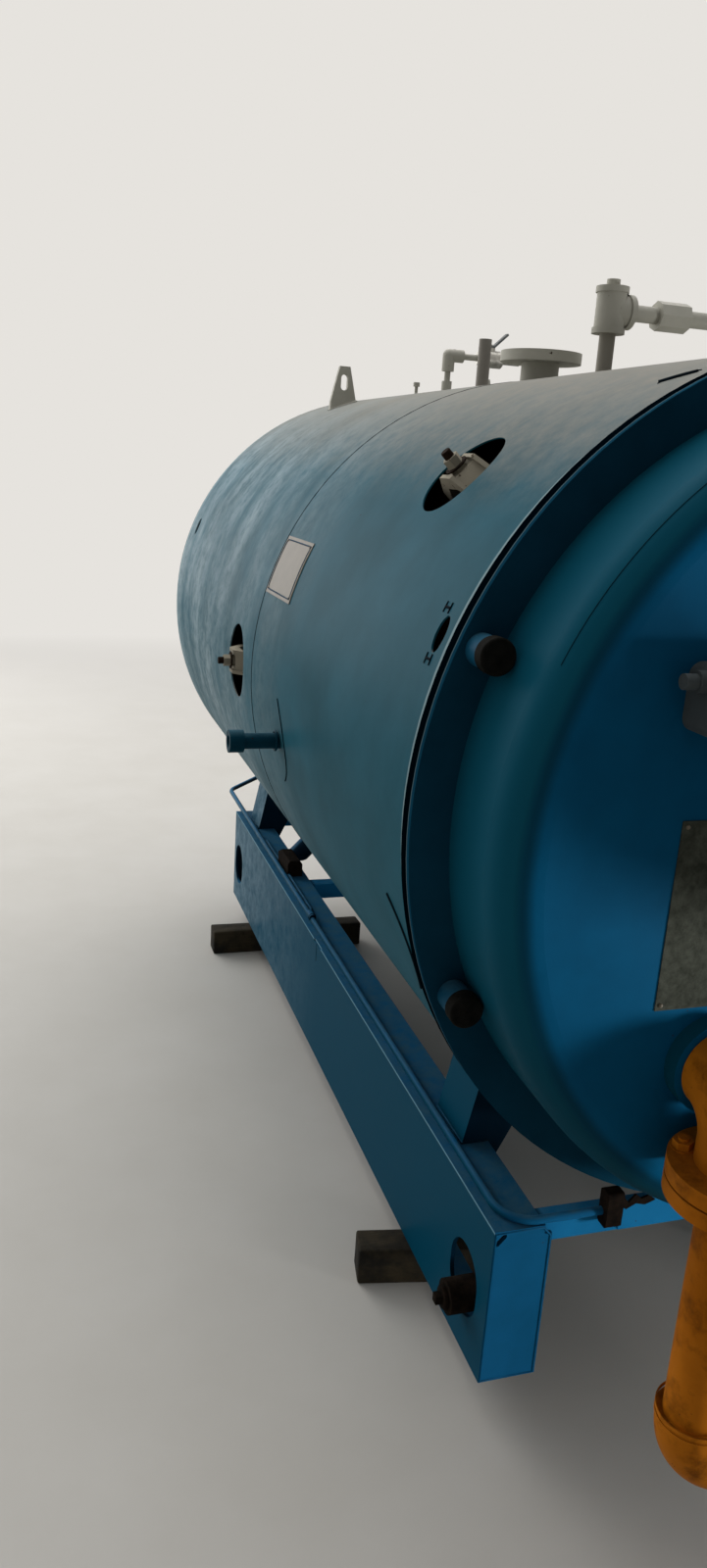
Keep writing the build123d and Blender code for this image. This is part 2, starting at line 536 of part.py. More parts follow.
valve = valve - bar(VALVE_BORE, HEX_X + 4, NIPPLE_END_X + 1, bleed_y, BLEED_Z)
valve = valve + pillar(BOSS_R, BLEED_Z + VALVE_BORE + 4, BOSS_TOP, BOSS_X, bleed_y)
save("ball_valve", valve + pillar(STEM_R, BOSS_TOP, BOSS_TOP + STEM_LEN, BOSS_X, bleed_y))
LEVER_T = 5.0           # the lever's disc on the stem
LEVER_DISC_R = 13.0
LEVER_LEN = 54.5        # its rising arm
LEVER_W = 20.0
LEVER_ARM_T = 6.0
LEVER_START = 8.0       # where the arm starts, from the stem's axis
LEVER_RISE = 43.0
LEVER_GAP = 1.0
PIN_GAP = 0.05
lever_z = BOSS_TOP + LEVER_GAP
arm = Rot(0, -LEVER_RISE, 0) * Pos(LEVER_LEN / 2, 0, 0) * Box(LEVER_LEN, LEVER_W, LEVER_ARM_T)
lever = pillar(LEVER_DISC_R, lever_z, lever_z + LEVER_T, BOSS_X, bleed_y)
lever = lever + Pos(BOSS_X + LEVER_START, bleed_y, lever_z + LEVER_T / 2) * arm
save("valve_lever", lever - pillar(STEM_R + PIN_GAP, lever_z - 1, lever_z + LEVER_LEN, BOSS_X, bleed_y))

# Lifting lug standing across the jacket
LUG_HIGH = 112.0        # over the jacket where it stands
LUG_TIP = 16.0          # half of the lug's width at its top
LUG_WAIST = 40.0        # half of its width just over the jacket
lug_z = AXIS_Z + sqrt(JACKET_R ** 2 - LUG_X ** 2)
lug_low = AXIS_Z + sqrt(SHELL_R ** 2 - LUG_X ** 2)
lug_outline = Polyline(
    (-LUG_FOOT, lug_low - 40), (LUG_FOOT, lug_low - 40), (LUG_WAIST, lug_z + 10),
    (LUG_TIP, lug_z + LUG_HIGH), (-LUG_TIP, lug_z + LUG_HIGH), (-LUG_WAIST, lug_z + 10), close=True)
lug_body = Pos(-LUG_X, LUG_Y + LUG_T / 2, 0) * extrude(make_face(Plane.XZ * lug_outline), LUG_T)
eye_cut = Rot(90, 0, 0) * extrude(SlotOverall(46, 22, rotation=90), 20, both=True)
lug_eye = Pos(-LUG_X, LUG_Y, lug_z + 66) * eye_cut
lug_body = lug_body - drum(SHELL_R + SEAT, LUG_Y - 30, LUG_Y + 30) - lug_eye
save("lifting_lugs", Compound(children=[lug_body, mirrored(lug_body)]))

# Legs
left_legs = [leg(y) for y in LEG_Y]
save("legs_left", Compound(children=left_legs))
save("legs_right", Compound(children=[mirrored(piece) for piece in left_legs]))

# Skid: two channels with plated ends, open towards the middle, with oval lifting holes
HOLE_Z = BEAM_BASE + 136                # middle of the lifting holes
HOLE_Y = (90.0, BEAM_REAR_Y - 79)
HOLE_HIGH = 136.0
HOLE_WIDE = 116.0
CORNER_SLOT = (12.0, 17.0, 27.0, 9.0, 48.0)     # slanting gap in the end plate: in, down, long, wide, slope
END_LIP = 14.0                          # the end plates stand out this far past the channel's inner edges
END_LIP_DOWN = 17.0
SPLICE = (1132.0, 4.0, 54.0)            # slit in the outer face at the channel's splice: y, width, depth down
SPLICE_NOTCH = (1092.0, 1160.0, 6.0)    # notch in the outer top edge beside it: from, to, height
GROOVE = 3.0                            # how deep slit and notch go into the face
web_x = -BEAM_OUT_X + BEAM_WALL
beam = block(-BEAM_OUT_X, -BEAM_IN_X, BEAM_FRONT_Y, BEAM_REAR_Y, BEAM_BASE, BEAM_TOP)
beam = beam - block(web_x, -BEAM_IN_X + 1, BEAM_FRONT_Y + BEAM_WALL, BEAM_REAR_Y - BEAM_WALL,
                    BEAM_BASE + BEAM_WALL, BEAM_TOP - BEAM_WALL)
lip_x = -BEAM_IN_X + END_LIP
for end_y in (BEAM_FRONT_Y, BEAM_REAR_Y - BEAM_WALL):
    beam = beam + block(-BEAM_IN_X, lip_x, end_y, end_y + BEAM_WALL, BEAM_BASE, BEAM_TOP - END_LIP_DOWN)
slit_y, slit_w, slit_deep = SPLICE
notch_y0, notch_y1, notch_high = SPLICE_NOTCH
groove_x = -BEAM_OUT_X + GROOVE
beam = beam - block(-BEAM_OUT_X - 1, groove_x, slit_y, slit_y + slit_w, BEAM_TOP - slit_deep, BEAM_TOP + 1)
beam = beam - block(-BEAM_OUT_X - 1, groove_x, notch_y0, notch_y1, BEAM_TOP - notch_high, BEAM_TOP + 1)
for hole_y in HOLE_Y:
    oval = extrude(Plane.YZ * SlotOverall(HOLE_HIGH, HOLE_WIDE, rotation=90), 40, both=True)
    beam = beam - Pos(-BEAM_OUT_X, hole_y, HOLE_Z) * oval
corner_in, corner_down, corner_long, corner_wide, corner_slope = CORNER_SLOT
corner_shape = Plane.XZ * SlotOverall(corner_long, corner_wide, rotation=corner_slope)
corner_slot = extrude(corner_shape, BEAM_WALL / 2 + 1, both=True)
beam = beam - Pos(-BEAM_OUT_X + corner_in, BEAM_FRONT_Y + BEAM_WALL / 2, BEAM_TOP - corner_down) * corner_slot
save("skid_beam_left", beam)
save("skid_beam_right", mirrored(beam))

# Cross bars between the channels, the front one with a plate on its face
BAR_H = 45.0
BAR_W = 38.0
FRONT_BAR = (6.0, 34.0)                 # front and rear face of the front cross bar
BAR_MID_Y = 1530.0                      # front face of the middle cross bar
BAR_PLATE = (-240.0, -100.0, -39.0, 17.0)       # left, right, lower and upper edge from the beam top
plate_left, plate_right, plate_under, plate_over = BAR_PLATE
front_bar = block(-BEAM_IN_X, BEAM_IN_X, FRONT_BAR[0], FRONT_BAR[1], BEAM_TOP - BAR_H, BEAM_TOP)
front_bar = front_bar + block(plate_left, plate_right, FRONT_BAR[0] - BEAM_WALL, FRONT_BAR[0],
                              BEAM_TOP + plate_under, BEAM_TOP + plate_over)
back_bars = [
    block(-BEAM_IN_X, BEAM_IN_X, y, y + BAR_W, BEAM_TOP - BAR_H, BEAM_TOP)
    for y in (BAR_MID_Y, BEAM_REAR_Y - BAR_W - BEAM_WALL)
]
save("cross_bars", Compound(children=[front_bar, *back_bars]))

# Tube on the left channel, outside the legs: turns across in front and inwards behind, a thinner one beside it
TUBE_R = 7.5
TUBE_X = -BEAM_OUT_X + 22
TUBE_Z = BEAM_TOP + TUBE_R
TUBE_FRONT_Y = FRONT_BAR[0] - TUBE_R - 1.5
TUBE_BEND = 60.0
TUBE_TURN_Y = REAR_FACE_Y + 102         # where the tube turns inwards behind the boiler
TUBE_END = (120.0, 113.0, 12.0)         # its end from there: inwards, rearwards and up
CLAMP = (-279.0, -249.0, -17.0, 49.0)   # left, right, lower and upper edge of the clamp, from the beam top
THIN_R = 5.0
THIN_X = -BEAM_OUT_X + 37
THIN_Y = (1335.0, 1905.0)
FITTING = (32.0, 77.0, 1600.0, 1724.0, 46.0)    # rusty fitting: x from the channel's outer face, y, height
clamp_left, clamp_right, clamp_under, clamp_over = CLAMP
fit_in0, fit_in1, fit_y0, fit_y1, fit_high = FITTING
tube_in, tube_back, tube_up = TUBE_END
route = FilletPolyline(
    (clamp_left, TUBE_FRONT_Y, TUBE_Z), (TUBE_X, TUBE_FRONT_Y, TUBE_Z), (TUBE_X, TUBE_TURN_Y, TUBE_Z),
    (TUBE_X + tube_in, TUBE_TURN_Y + tube_back, TUBE_Z + tube_up), radius=TUBE_BEND,
)
tube = sweep(Plane(origin=route @ 0, z_dir=route % 0) * Circle(TUBE_R), route)
thin_runs = ((THIN_Y[0], fit_y0), (fit_y1, THIN_Y[1]))
thin = [drum(THIN_R, y0, y1, THIN_X, BEAM_TOP + THIN_R) for y0, y1 in thin_runs]
save("beam_tube", Compound(children=[tube, *thin]))

# Blowdown pipe, standing on the channel's inner edge
blow = blow_axis * (Cylinder(BLOW_R, 2 * JACKET_R) - Cylinder(BLOW_R - BLOW_WALL, 2 * JACKET_R))
blow = blow - drum(SHELL_R + SEAT, blow_y0, blow_y1)
blow = blow - block(-BEAM_IN_X - JACKET_R, BEAM_IN_X, blow_y0, blow_y1, BEAM_TOP - JACKET_R, BEAM_TOP)
save("blowdown_pipe", blow.solids().sort_by(Axis.X)[0])

# Rusty pipe end lying in the front lifting hole of the left channel
DRAIN_R = 31.0
DRAIN_OUT = 30.0
drain_z = HOLE_Z - HOLE_HIGH / 2 + DRAIN_R + SEAT
save("drain_pipe", bar(DRAIN_R, -BEAM_OUT_X - DRAIN_OUT, -BEAM_IN_X - 8, HOLE_Y[0], drain_z))

# Rusty fitting on the channel and clamp on the front bar
fitting = block(-BEAM_OUT_X + fit_in0, -BEAM_OUT_X + fit_in1, fit_y0, fit_y1, BEAM_TOP, BEAM_TOP + fit_high)
fitting = chamfer(fitting.faces().sort_by(Axis.Z)[-1].edges(), 8)
clamp = block(clamp_left, clamp_right, FRONT_BAR[0] - 28, FRONT_BAR[0],
              BEAM_TOP + clamp_under, BEAM_TOP + clamp_over)
clamp = fillet(clamp.edges().filter_by(Axis.X), 6)
save("rusty_fittings", Compound(children=[fitting, clamp]))

# Timber blocks under the skid, with middle, length and turn: the front ones are shorter and turned a little
TIMBERS = (("front", -402.0, 348.0, 350.0, -11.0), ("rear", -351.5, 1941.0, 505.0, 0.0))
for name, x, y, length, turned in TIMBERS:
    timber = Pos(x, y, TIMBER_H / 2) * Rot(0, 0, turned) * Box(length, TIMBER_W, TIMBER_H)
    save("timbers_" + name, Compound(children=[timber, mirrored(timber)]))
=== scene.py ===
import bmesh
import bpy
import math
from mathutils import Matrix, Vector


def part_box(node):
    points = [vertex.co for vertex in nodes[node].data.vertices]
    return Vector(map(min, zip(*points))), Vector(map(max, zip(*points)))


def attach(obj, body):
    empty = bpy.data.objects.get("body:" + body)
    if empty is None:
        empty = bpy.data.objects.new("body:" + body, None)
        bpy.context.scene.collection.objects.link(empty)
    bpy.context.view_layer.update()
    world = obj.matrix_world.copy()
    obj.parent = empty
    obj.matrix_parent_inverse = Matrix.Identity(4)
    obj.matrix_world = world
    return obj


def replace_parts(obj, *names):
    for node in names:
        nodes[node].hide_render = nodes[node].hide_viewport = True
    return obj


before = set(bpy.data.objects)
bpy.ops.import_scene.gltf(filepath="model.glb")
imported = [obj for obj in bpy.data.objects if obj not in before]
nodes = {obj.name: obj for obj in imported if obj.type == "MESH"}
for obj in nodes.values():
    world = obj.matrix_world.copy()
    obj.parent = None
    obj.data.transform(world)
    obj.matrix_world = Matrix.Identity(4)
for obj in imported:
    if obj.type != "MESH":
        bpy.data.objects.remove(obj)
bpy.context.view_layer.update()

# Camera
# A phone held upright at eye level, left of the boiler's front and turned a little to the right. Its place
# and turn come from the known circles of the jacket and the heads, so it needs no shift.
yaw, pitch, roll = 0.3088, 0.2824, 0.0647
stood_at = (-1.20715, -2.40246, 1.57786)
look = Vector((math.sin(yaw) * math.cos(pitch), math.cos(yaw) * math.cos(pitch), -math.sin(pitch)))
level = Vector((math.cos(yaw), -math.sin(yaw), 0))
rise = level.cross(look)
across = math.cos(roll) * level + math.sin(roll) * rise
upward = -math.sin(roll) * level + math.cos(roll) * rise
phone = bpy.data.objects.new("phone_camera", bpy.data.cameras.new("phone_camera"))
phone.data.sensor_fit = "AUTO"
phone.data.sensor_width = 36.0
phone.data.lens = 25.187
phone.data.clip_end = 60.0
phone.matrix_world = Matrix((*zip(across, upward, -look, stood_at), (0, 0, 0, 1)))
bpy.context.scene.collection.objects.link(phone)
bpy.context.scene.camera = phone

# Workshop floor
# A smooth pale screed that the blocks stand on. It is stage, not part of the boiler, and is seen only as the
# pale ground that takes the soft shadow under the skid.
floor_radius, fade_from, fade_full = 26.0, 2.6, 7.5
surround = "#e6e3de"


def linear(code):
    """A colour written as sRGB hex, as the linear RGBA that a socket wants."""
    parts = [int(code[i:i + 2], 16) / 255 for i in (1, 3, 5)]
    return tuple(c / 12.92 if c <= 0.04045 else ((c + 0.055) / 1.055) ** 2.4 for c in parts) + (1.0,)


def add(material, kind, settings=None, links=None):
    """Adds a node: settings are sockets' values or its own properties, links are sockets fed by outputs."""
    made = material.node_tree.nodes.new(kind)
    for key, value in (settings or {}).items():
        if isinstance(key, int) or key in made.inputs:
            made.inputs[key].default_value = value
        else:
            setattr(made, key, value)
    for key, source in (links or {}).items():
        wire(material, source, made.inputs[key])
    return made


def wire(material, source, socket):
    """Feeds a socket from an output."""
    material.node_tree.links.new(source, socket)


def new_material(name):
    """An empty material, its Principled shader, and the part's own coordinates ready to be linked."""
    made = bpy.data.materials.new(name)
    made.use_nodes = True
    own_place = add(made, "ShaderNodeTexCoord", {"name": "own place"}).outputs["Object"]
    return made, made.node_tree.nodes["Principled BSDF"], own_place


def grain_of(size):
    """The noise scale, to two figures, that draws spots of a real size in millimetres."""
    return float(format(1000 / size, ".2g"))


# Screed: cement smoothed with a trowel, so its grey is cloudy; it fades into the pale surround
screed, screed_shader, spot = new_material("screed")
screed_shader.inputs["Roughness"].default_value = 0.85
trowel = add(screed, "ShaderNodeTexNoise", {"Scale": grain_of(330), "Detail": 6.0, "Roughness": 0.6},
             {"Vector": spot})
shade = add(screed, "ShaderNodeMixRGB", {"Color1": linear("#c9c6c0"), "Color2": linear("#bab6ae")},
            {"Fac": trowel.outputs["Fac"]})
wire(screed, shade.outputs["Color"], screed_shader.inputs["Base Color"])
away = add(screed, "ShaderNodeVectorMath", {"operation": "LENGTH"}, {0: spot})
fade = add(screed, "ShaderNodeMapRange", {"From Min": fade_from, "From Max": fade_full},
           {"Value": away.outputs["Value"]})
wall_tone = add(screed, "ShaderNodeEmission", {"Color": linear(surround), "Strength": 1.0})
faded = add(screed, "ShaderNodeMixShader", {},
            {0: fade.outputs[0], 1: screed_shader.outputs[0], 2: wall_tone.outputs[0]})
eye = add(screed, "ShaderNodeLightPath")
seen_only = add(screed, "ShaderNodeMixShader", {},
                {0: eye.outputs["Is Camera Ray"], 1: screed_shader.outputs[0], 2: faded.outputs[0]})
wire(screed, seen_only.outputs[0], screed.node_tree.nodes["Material Output"].inputs["Surface"])
ground = bmesh.new()
bmesh.ops.create_circle(ground, cap_ends=True, segments=96, radius=floor_radius)
floor_mesh = bpy.data.meshes.new("workshop_floor")
ground.to_mesh(floor_mesh)
ground.free()
floor_mesh.materials.append(screed)
floor = bpy.data.objects.new("workshop_floor", floor_mesh)
bpy.context.scene.collection.objects.link(floor)

# Light
# Soft daylight from behind the boiler: the surround is brightest at the rear and dims towards the viewer,
# with a broad lamp at the far left, one overhead, and a small low one at the front right that throws the
# burner's shadow on the head. Camera, glossy and transmission rays see an even pale surround instead.
lamps = (
    # name, place, what it is aimed at, size in metres, watts, spread in degrees
    ("far_daylight", (-3.0, 5.0, 2.7), (0, 0.6, 1.0), 4.0, 150.0, 180),
    ("overhead_daylight", (0.2, 1.6, 5.4), (0, 0.2, 1.0), 5.0, 160.0, 180),
    ("low_daylight", (2.15, -2.9, 0.40), (-0.3, -1.2, 1.0), 0.6, 11.0, 64),
)
sky = bpy.data.worlds.new("pale_surround")
bpy.context.scene.world = sky
sky.use_nodes = True
lit = sky.node_tree.nodes["Background"]
lit.inputs["Color"].default_value = linear("#ffffff")
toward = add(sky, "ShaderNodeSeparateXYZ", {}, {0: add(sky, "ShaderNodeTexCoord").outputs["Generated"]})
daylight = add(sky, "ShaderNodeMapRange", {"From Min": -0.3, "From Max": 0.9, "To Min": 0.22, "To Max": 1.00},
               {"Value": toward.outputs["Y"]})
wire(sky, daylight.outputs[0], lit.inputs["Strength"])
seen = add(sky, "ShaderNodeBackground", {"Color": linear(surround), "Strength": 1.0})
path = add(sky, "ShaderNodeLightPath")
shown = path.outputs["Is Camera Ray"]
for ray in ("Is Transmission Ray", "Is Glossy Ray"):
    shown = add(sky, "ShaderNodeMath", {"operation": "MAXIMUM"}, {0: shown, 1: path.outputs[ray]}).outputs[0]
chosen = add(sky, "ShaderNodeMixShader", {}, {0: shown, 1: lit.outputs[0], 2: seen.outputs[0]})
wire(sky, chosen.outputs[0], sky.node_tree.nodes["World Output"].inputs["Surface"])
for name, place, aim, size, power, spread in lamps:
    lamp = bpy.data.objects.new(name, bpy.data.lights.new(name, "AREA"))
    lamp.data.size = size
    lamp.data.energy = power
    lamp.data.spread = math.radians(spread)
    lamp.location = place
    lamp.rotation_euler = (Vector(aim) - Vector(place)).to_track_quat("-Z", "Y").to_euler()
    bpy.context.scene.collection.objects.link(lamp)
bpy.context.scene.view_settings.view_transform = "Standard"

# Timber blocks
# Four old softwood beams, nearly black with oil and dirt, laid across under the skid, the front pair a little
# askew. Edges have rounded and faces worn hollow; the worn solids replace the plain ones, inside them.
timber_wide, timber_high = 0.068, 0.080
timber_pairs = (
    # name, how far out and back its middle lies in millimetres, length in metres, turn in degrees
    ("front", 402.0, 348.0, 0.350, -11.0),
    ("rear", 351.5, 1941.0, 0.505, 0.0),
)
timber_foot = 0.003 - timber_high / 2
wear_least, wear_more = 0.0001, 0.0012
jacket_low, jacket_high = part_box("jacket_front")
front_edge = round(jacket_low[1] * 1000, 1)
axis_height = round((jacket_low[2] + jacket_high[2]) * 500, 1)


def at(x, y, z):
    """Millimetres from the middle, the jacket's front edge and the boiler's axis, as the part's metres."""
    return Vector((x, y + front_edge, z + axis_height)) / 1000


def span(node):
    """A CAD node's lowest and highest corner, in the millimetres that at takes."""
    corners = [Vector(corner) * 1000 - Vector((0, front_edge, axis_height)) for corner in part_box(node)]
    return [[round(value, 1) for value in corner] for corner in corners]


def soften(bm, radius):
    """Rounds every edge of a shape."""
    bmesh.ops.bevel(bm, geom=bm.edges[:], offset=radius, segments=2, affect="EDGES", profile=0.5, material=-1)


def piece(name, bm, material, smooth=True):
    """Makes a finished piece of the boiler from a bmesh and lets it ride on the boiler."""
    bmesh.ops.remove_doubles(bm, verts=bm.verts, dist=1e-6)
    bmesh.ops.recalc_face_normals(bm, faces=bm.faces)
    mesh = bpy.data.meshes.new(name)
    bm.to_mesh(mesh)
    bm.free()
    mesh.materials.append(material)
    if smooth:
        mesh.shade_smooth()
        mesh.set_sharp_from_angle(angle=math.radians(35))
    made = bpy.data.objects.new(name, mesh)
    bpy.context.scene.collection.objects.link(made)
    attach(made, "boiler")
    return made


# Sawn softwood soaked with oil: dark and dull, with grain along the block, rings about 5 mm apart
timber, timber_shader, spot = new_material("oiled_old_softwood")
timber_shader.inputs["Roughness"].default_value = 0.85
timber_shader.inputs["Specular IOR Level"].default_value = 0.2
along = add(timber, "ShaderNodeMapping", {"Scale": (0.06, 1.0, 1.0)}, {"Vector": spot})
grain = add(timber, "ShaderNodeTexNoise", {"Scale": grain_of(5.3), "Detail": 6.0, "Roughness": 0.65},
            {"Vector": along.outputs[0]})
grime = add(timber, "ShaderNodeTexNoise", {"Scale": grain_of(111), "Detail": 5.0, "Roughness": 0.7},
            {"Vector": spot})
wood = add(timber, "ShaderNodeMixRGB", {"Color1": linear("#211c12"), "Color2": linear("#3b3323")},
           {"Fac": grain.outputs["Fac"]})
tide = add(timber, "ShaderNodeMapRange", {"From Min": 0.42, "From Max": 0.60},
           {"Value": grime.outputs["Fac"]})
oily = add(timber, "ShaderNodeMixRGB", {"Color1": linear("#100e09")},
           {"Fac": tide.outputs[0], "Color2": wood.outputs[0]})
wire(timber, oily.outputs[0], timber_shader.inputs["Base Color"])
furrow = add(timber, "ShaderNodeBump", {"Strength": 0.6, "Distance": 0.002}, {"Height": grain.outputs["Fac"]})
wire(timber, furrow.outputs[0], timber_shader.inputs["Normal"])
for name, out, back, length, turned in timber_pairs:
    worn = bmesh.new()
    for side in (-1, 1):
        block = bmesh.new()
        bmesh.ops.create_cube(block, size=1.0)
        bmesh.ops.scale(block, vec=(length, timber_wide, timber_high), verts=block.verts)
        soften(block, 0.005)
        bmesh.ops.triangulate(block, faces=block.faces)
        bmesh.ops.subdivide_edges(block, edges=block.edges, cuts=2, use_grid_fill=True)
        centre = at(side * out, back, timber_high * 500 - axis_height)
        laid = Matrix.Translation(centre) @ Matrix.Rotation(math.radians(-side * turned), 4, "Z")
        for v in block.verts:
            # Hollows 70 to 110 mm long and up to 2.5 mm deep; the foot stays flat on the floor
            wave = 1 + math.sin(v.co.x * 91) * math.sin(v.co.y * 57 + v.co.z * 73)
            wear = Vector((0, -v.co.y, -v.co.z)).normalized() * (wear_least + wear_more * wave)
            if v.co.z <= timber_foot:
                wear.z = 0
            v.co = laid @ (v.co + wear)
        one_block = bpy.data.meshes.new("one_block")
        block.to_mesh(one_block)
        block.free()
        worn.from_mesh(one_block)
        bpy.data.meshes.remove(one_block)
    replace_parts(piece("worn_timbers_" + name, worn, timber), "timbers_" + name)

# Skid channels and cross bars
# Rolled steel channels with plated ends and oval lifting holes, joined by square bars and sprayed with blue
# alkyd enamel over the mill scale. The webs carry painted shade and chips; the bars are a clearer blue.
sides = ((-1, "left"), (1, "right"))
chip_colour = "#3a261b"
channel_shade = "#04121b"
leg_long, leg_wide = 126.0, 51.0
# Metres behind the part's middle
skid_sheen_from, skid_sheen_full = 0.1, 1.1
(beam_out, beam_front, beam_foot), (beam_in, beam_rear, beam_top) = span("skid_beam_left")
(leg_out, leg_front, _), (_, leg_rear, _) = span("legs_left")


def place_of(material):
    """X, Y and Z of the shaded point in the part's own metres."""
    own_place = material.node_tree.nodes["own place"].outputs["Object"]
    return add(material, "ShaderNodeSeparateXYZ", {}, {0: own_place}).outputs


def facing_of(material):
    """X, Y and Z of the surface's own direction."""
    facing = add(material, "ShaderNodeNewGeometry").outputs["Normal"]
    return add(material, "ShaderNodeSeparateXYZ", {}, {0: facing}).outputs


def over(material, colour, *limits):
    """Lays a colour over a paint and gives back how much of it lies where.

    Each limit is a value, the reading at which the colour starts to show, the reading at which it is full,
    and how full that is, if not wholly. The colour shows only as far as every limit lets it.
    """
    amount = None
    for value, start, full, *most in limits:
        reach = {"From Min": start, "From Max": full, "To Max": most[0] if most else 1.0}
        part = add(material, "ShaderNodeMapRange", reach, {"Value": value}).outputs[0]
        if amount is not None:
            part = add(material, "ShaderNodeMath", {"operation": "MULTIPLY"}, {0: amount, 1: part}).outputs[0]
        amount = part
    paint = material.node_tree.nodes["Principled BSDF"].inputs["Base Color"]
    coats = add(material, "ShaderNodeMixRGB", {"Color2": linear(colour)},
                {"Fac": amount, "Color1": paint.links[0].from_socket})
    wire(material, coats.outputs[0], paint)
    return amount


def enamel(name, colour, clouds, dust, dust_from, chips, rough, peel=0.25, shine=0.02):
    """Sprayed alkyd enamel, or a coat that ages like it: cloudy, dusty where it faces up, chipped in spots.

    Its clouds are about 250 mm wide, its patches of dust 38 mm and its chips 13 mm. Its orange peel is 3 mm,
    coarser than the real one so that it shows. The specular level is low, because what the real paint
    mirrors is dark and the pale surround here would turn every face milky.
    """
    made, shader, spot = new_material(name)
    cloud = add(made, "ShaderNodeTexNoise", {"Scale": grain_of(250), "Detail": 5.0, "Roughness": 0.62},
                {"Vector": spot})
    spread = add(made, "ShaderNodeMapRange", {"From Min": 0.35, "From Max": 0.68},
                 {"Value": cloud.outputs["Fac"]})
    tone = add(made, "ShaderNodeMixRGB", {"Color1": linear(colour), "Color2": linear(clouds)},
               {"Fac": spread.outputs[0]})
    wire(made, tone.outputs[0], shader.inputs["Base Color"])
    specks = add(made, "ShaderNodeTexNoise",
                 {"name": "specks", "Scale": grain_of(38), "Detail": 8.0, "Roughness": 0.72},
                 {"Vector": spot})
    dusty = over(made, dust, (facing_of(made)["Z"], dust_from, 1.0), (specks.outputs["Fac"], 0.30, 0.72))
    flake = add(made, "ShaderNodeTexNoise", {"Scale": grain_of(13.3), "Detail": 4.0, "Roughness": 0.6},
                {"Vector": spot})
    bare = over(made, chip_colour, (flake.outputs["Fac"], chips, chips + 0.02))
    dull = add(made, "ShaderNodeMapRange", {"To Min": rough, "To Max": 0.72}, {"Value": dusty})
    matt = add(made, "ShaderNodeMath", {"operation": "MAXIMUM"}, {0: dull.outputs[0], 1: bare})
    wire(made, matt.outputs[0], shader.inputs["Roughness"])
    shader.inputs["IOR"].default_value = 1.50
    shader.inputs["Specular IOR Level"].default_value = shine
    grit = add(made, "ShaderNodeTexNoise", {"Scale": grain_of(3), "Detail": 2.0}, {"Vector": spot})
    skin = add(made, "ShaderNodeBump", {"name": "skin", "Strength": peel, "Distance": 0.0004},
               {"Height": grit.outputs["Fac"]})
    wire(made, skin.outputs[0], shader.inputs["Normal"])
    return made


def coat(material, *names):
    """Gives CAD nodes one finish in all their slots."""
    for name in names:
        for index in range(len(nodes[name].data.materials)):
            nodes[name].data.materials[index] = material


def bead(name, points, radius, material, closed=False):
    """A weld bead, wire or thin tube laid along a line of points."""
    curve = bpy.data.curves.new(name, "CURVE")
    curve.dimensions = "3D"
    curve.bevel_depth = radius
    curve.bevel_resolution = 3
    curve.use_fill_caps = True
    line = curve.splines.new("POLY")
    line.points.add(len(points) - 1)
    for point, place in zip(line.points, points):
        point.co = (*place, 1)
    line.use_cyclic_u = closed
    curve.materials.append(material)
    made = bpy.data.objects.new(name, curve)
    bpy.context.scene.collection.objects.link(made)
    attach(made, "boiler")


# Channel paint, sprayed over mill scale: the outer webs carry painted shade and, towards the rear,
# a mottled pale painted sheen
skid_enamel = enamel("skid_enamel", "#10557c", "#166392", "#41697c", 0.60, 0.735, 0.42)
place, facing = place_of(skid_enamel), facing_of(skid_enamel)
sideways = add(skid_enamel, "ShaderNodeMath", {"operation": "ABSOLUTE"}, {0: facing["X"]}).outputs[0]
on_web = (sideways, 0.6, 0.9)
sheen_specks = skid_enamel.node_tree.nodes["specks"].outputs["Fac"]
# Painted shade: the webs, which face sideways, are darker
over(skid_enamel, "#05435a", on_web)
# Painted sheen: pale mottling on the webs that grows towards the rear
over(skid_enamel, "#5f7c8c", on_web, (sheen_specks, 0.30, 0.62), (place["Y"], skid_sheen_from, skid_sheen_full, 0.95))
# Painted shade: inside the channels, and on what faces forwards behind their end plates, the paint is
# darkened nearly to black
inward = add(skid_enamel, "ShaderNodeMath", {"operation": "MULTIPLY"}, {0: place["X"], 1: facing["X"]})
over(skid_enamel, channel_shade, (inward.outputs[0], -0.10, -0.30, 0.85))
behind = at(0, beam_front, 0).y + 0.0575
over(skid_enamel, channel_shade, (facing["Y"], -0.25, -0.50, 0.9), (place["Y"], behind, behind + 0.007))
# Painted highlight: a pale line along the upper edge of each web
web_edge = at(0, 0, beam_top).z
over(skid_enamel, "#6b97aa", on_web, (place["Z"], web_edge - 0.0045, web_edge - 0.0025),
     (place["Z"], web_edge + 0.0012, web_edge + 0.0006))
coat(skid_enamel, "skid_beam_left", "skid_beam_right", "legs_left", "legs_right")
coat(skid_enamel, "beam_tube", "blowdown_pipe")
# Bar paint, sprayed with the channels: a clear blue, with painted shade where the bars end inside them
bar_enamel = enamel("bar_enamel", "#16699a", "#1c79ad", "#3f7fa4", 0.60, 0.72, 0.42)
off_middle = add(bar_enamel, "ShaderNodeMath", {"operation": "ABSOLUTE"}, {0: place_of(bar_enamel)["X"]})
bar_end = span("cross_bars")[1][0] / 1000
over(bar_enamel, channel_shade, (off_middle.outputs[0], bar_end - 0.010, bar_end, 0.85))
coat(bar_enamel, "cross_bars")
weld_out, weld_in, weld_foot, weld_top = -beam_out - 3, -beam_in + 3, beam_foot + 3, beam_top - 4
plate_outline = ((weld_out, weld_foot), (weld_in, weld_foot), (weld_in, weld_top - 16),
                 (weld_in + 14, weld_top), (weld_out, weld_top))
leg_outline = ((0, 1), (leg_wide, 1), (leg_wide, leg_long - 1), (0, leg_long - 1))
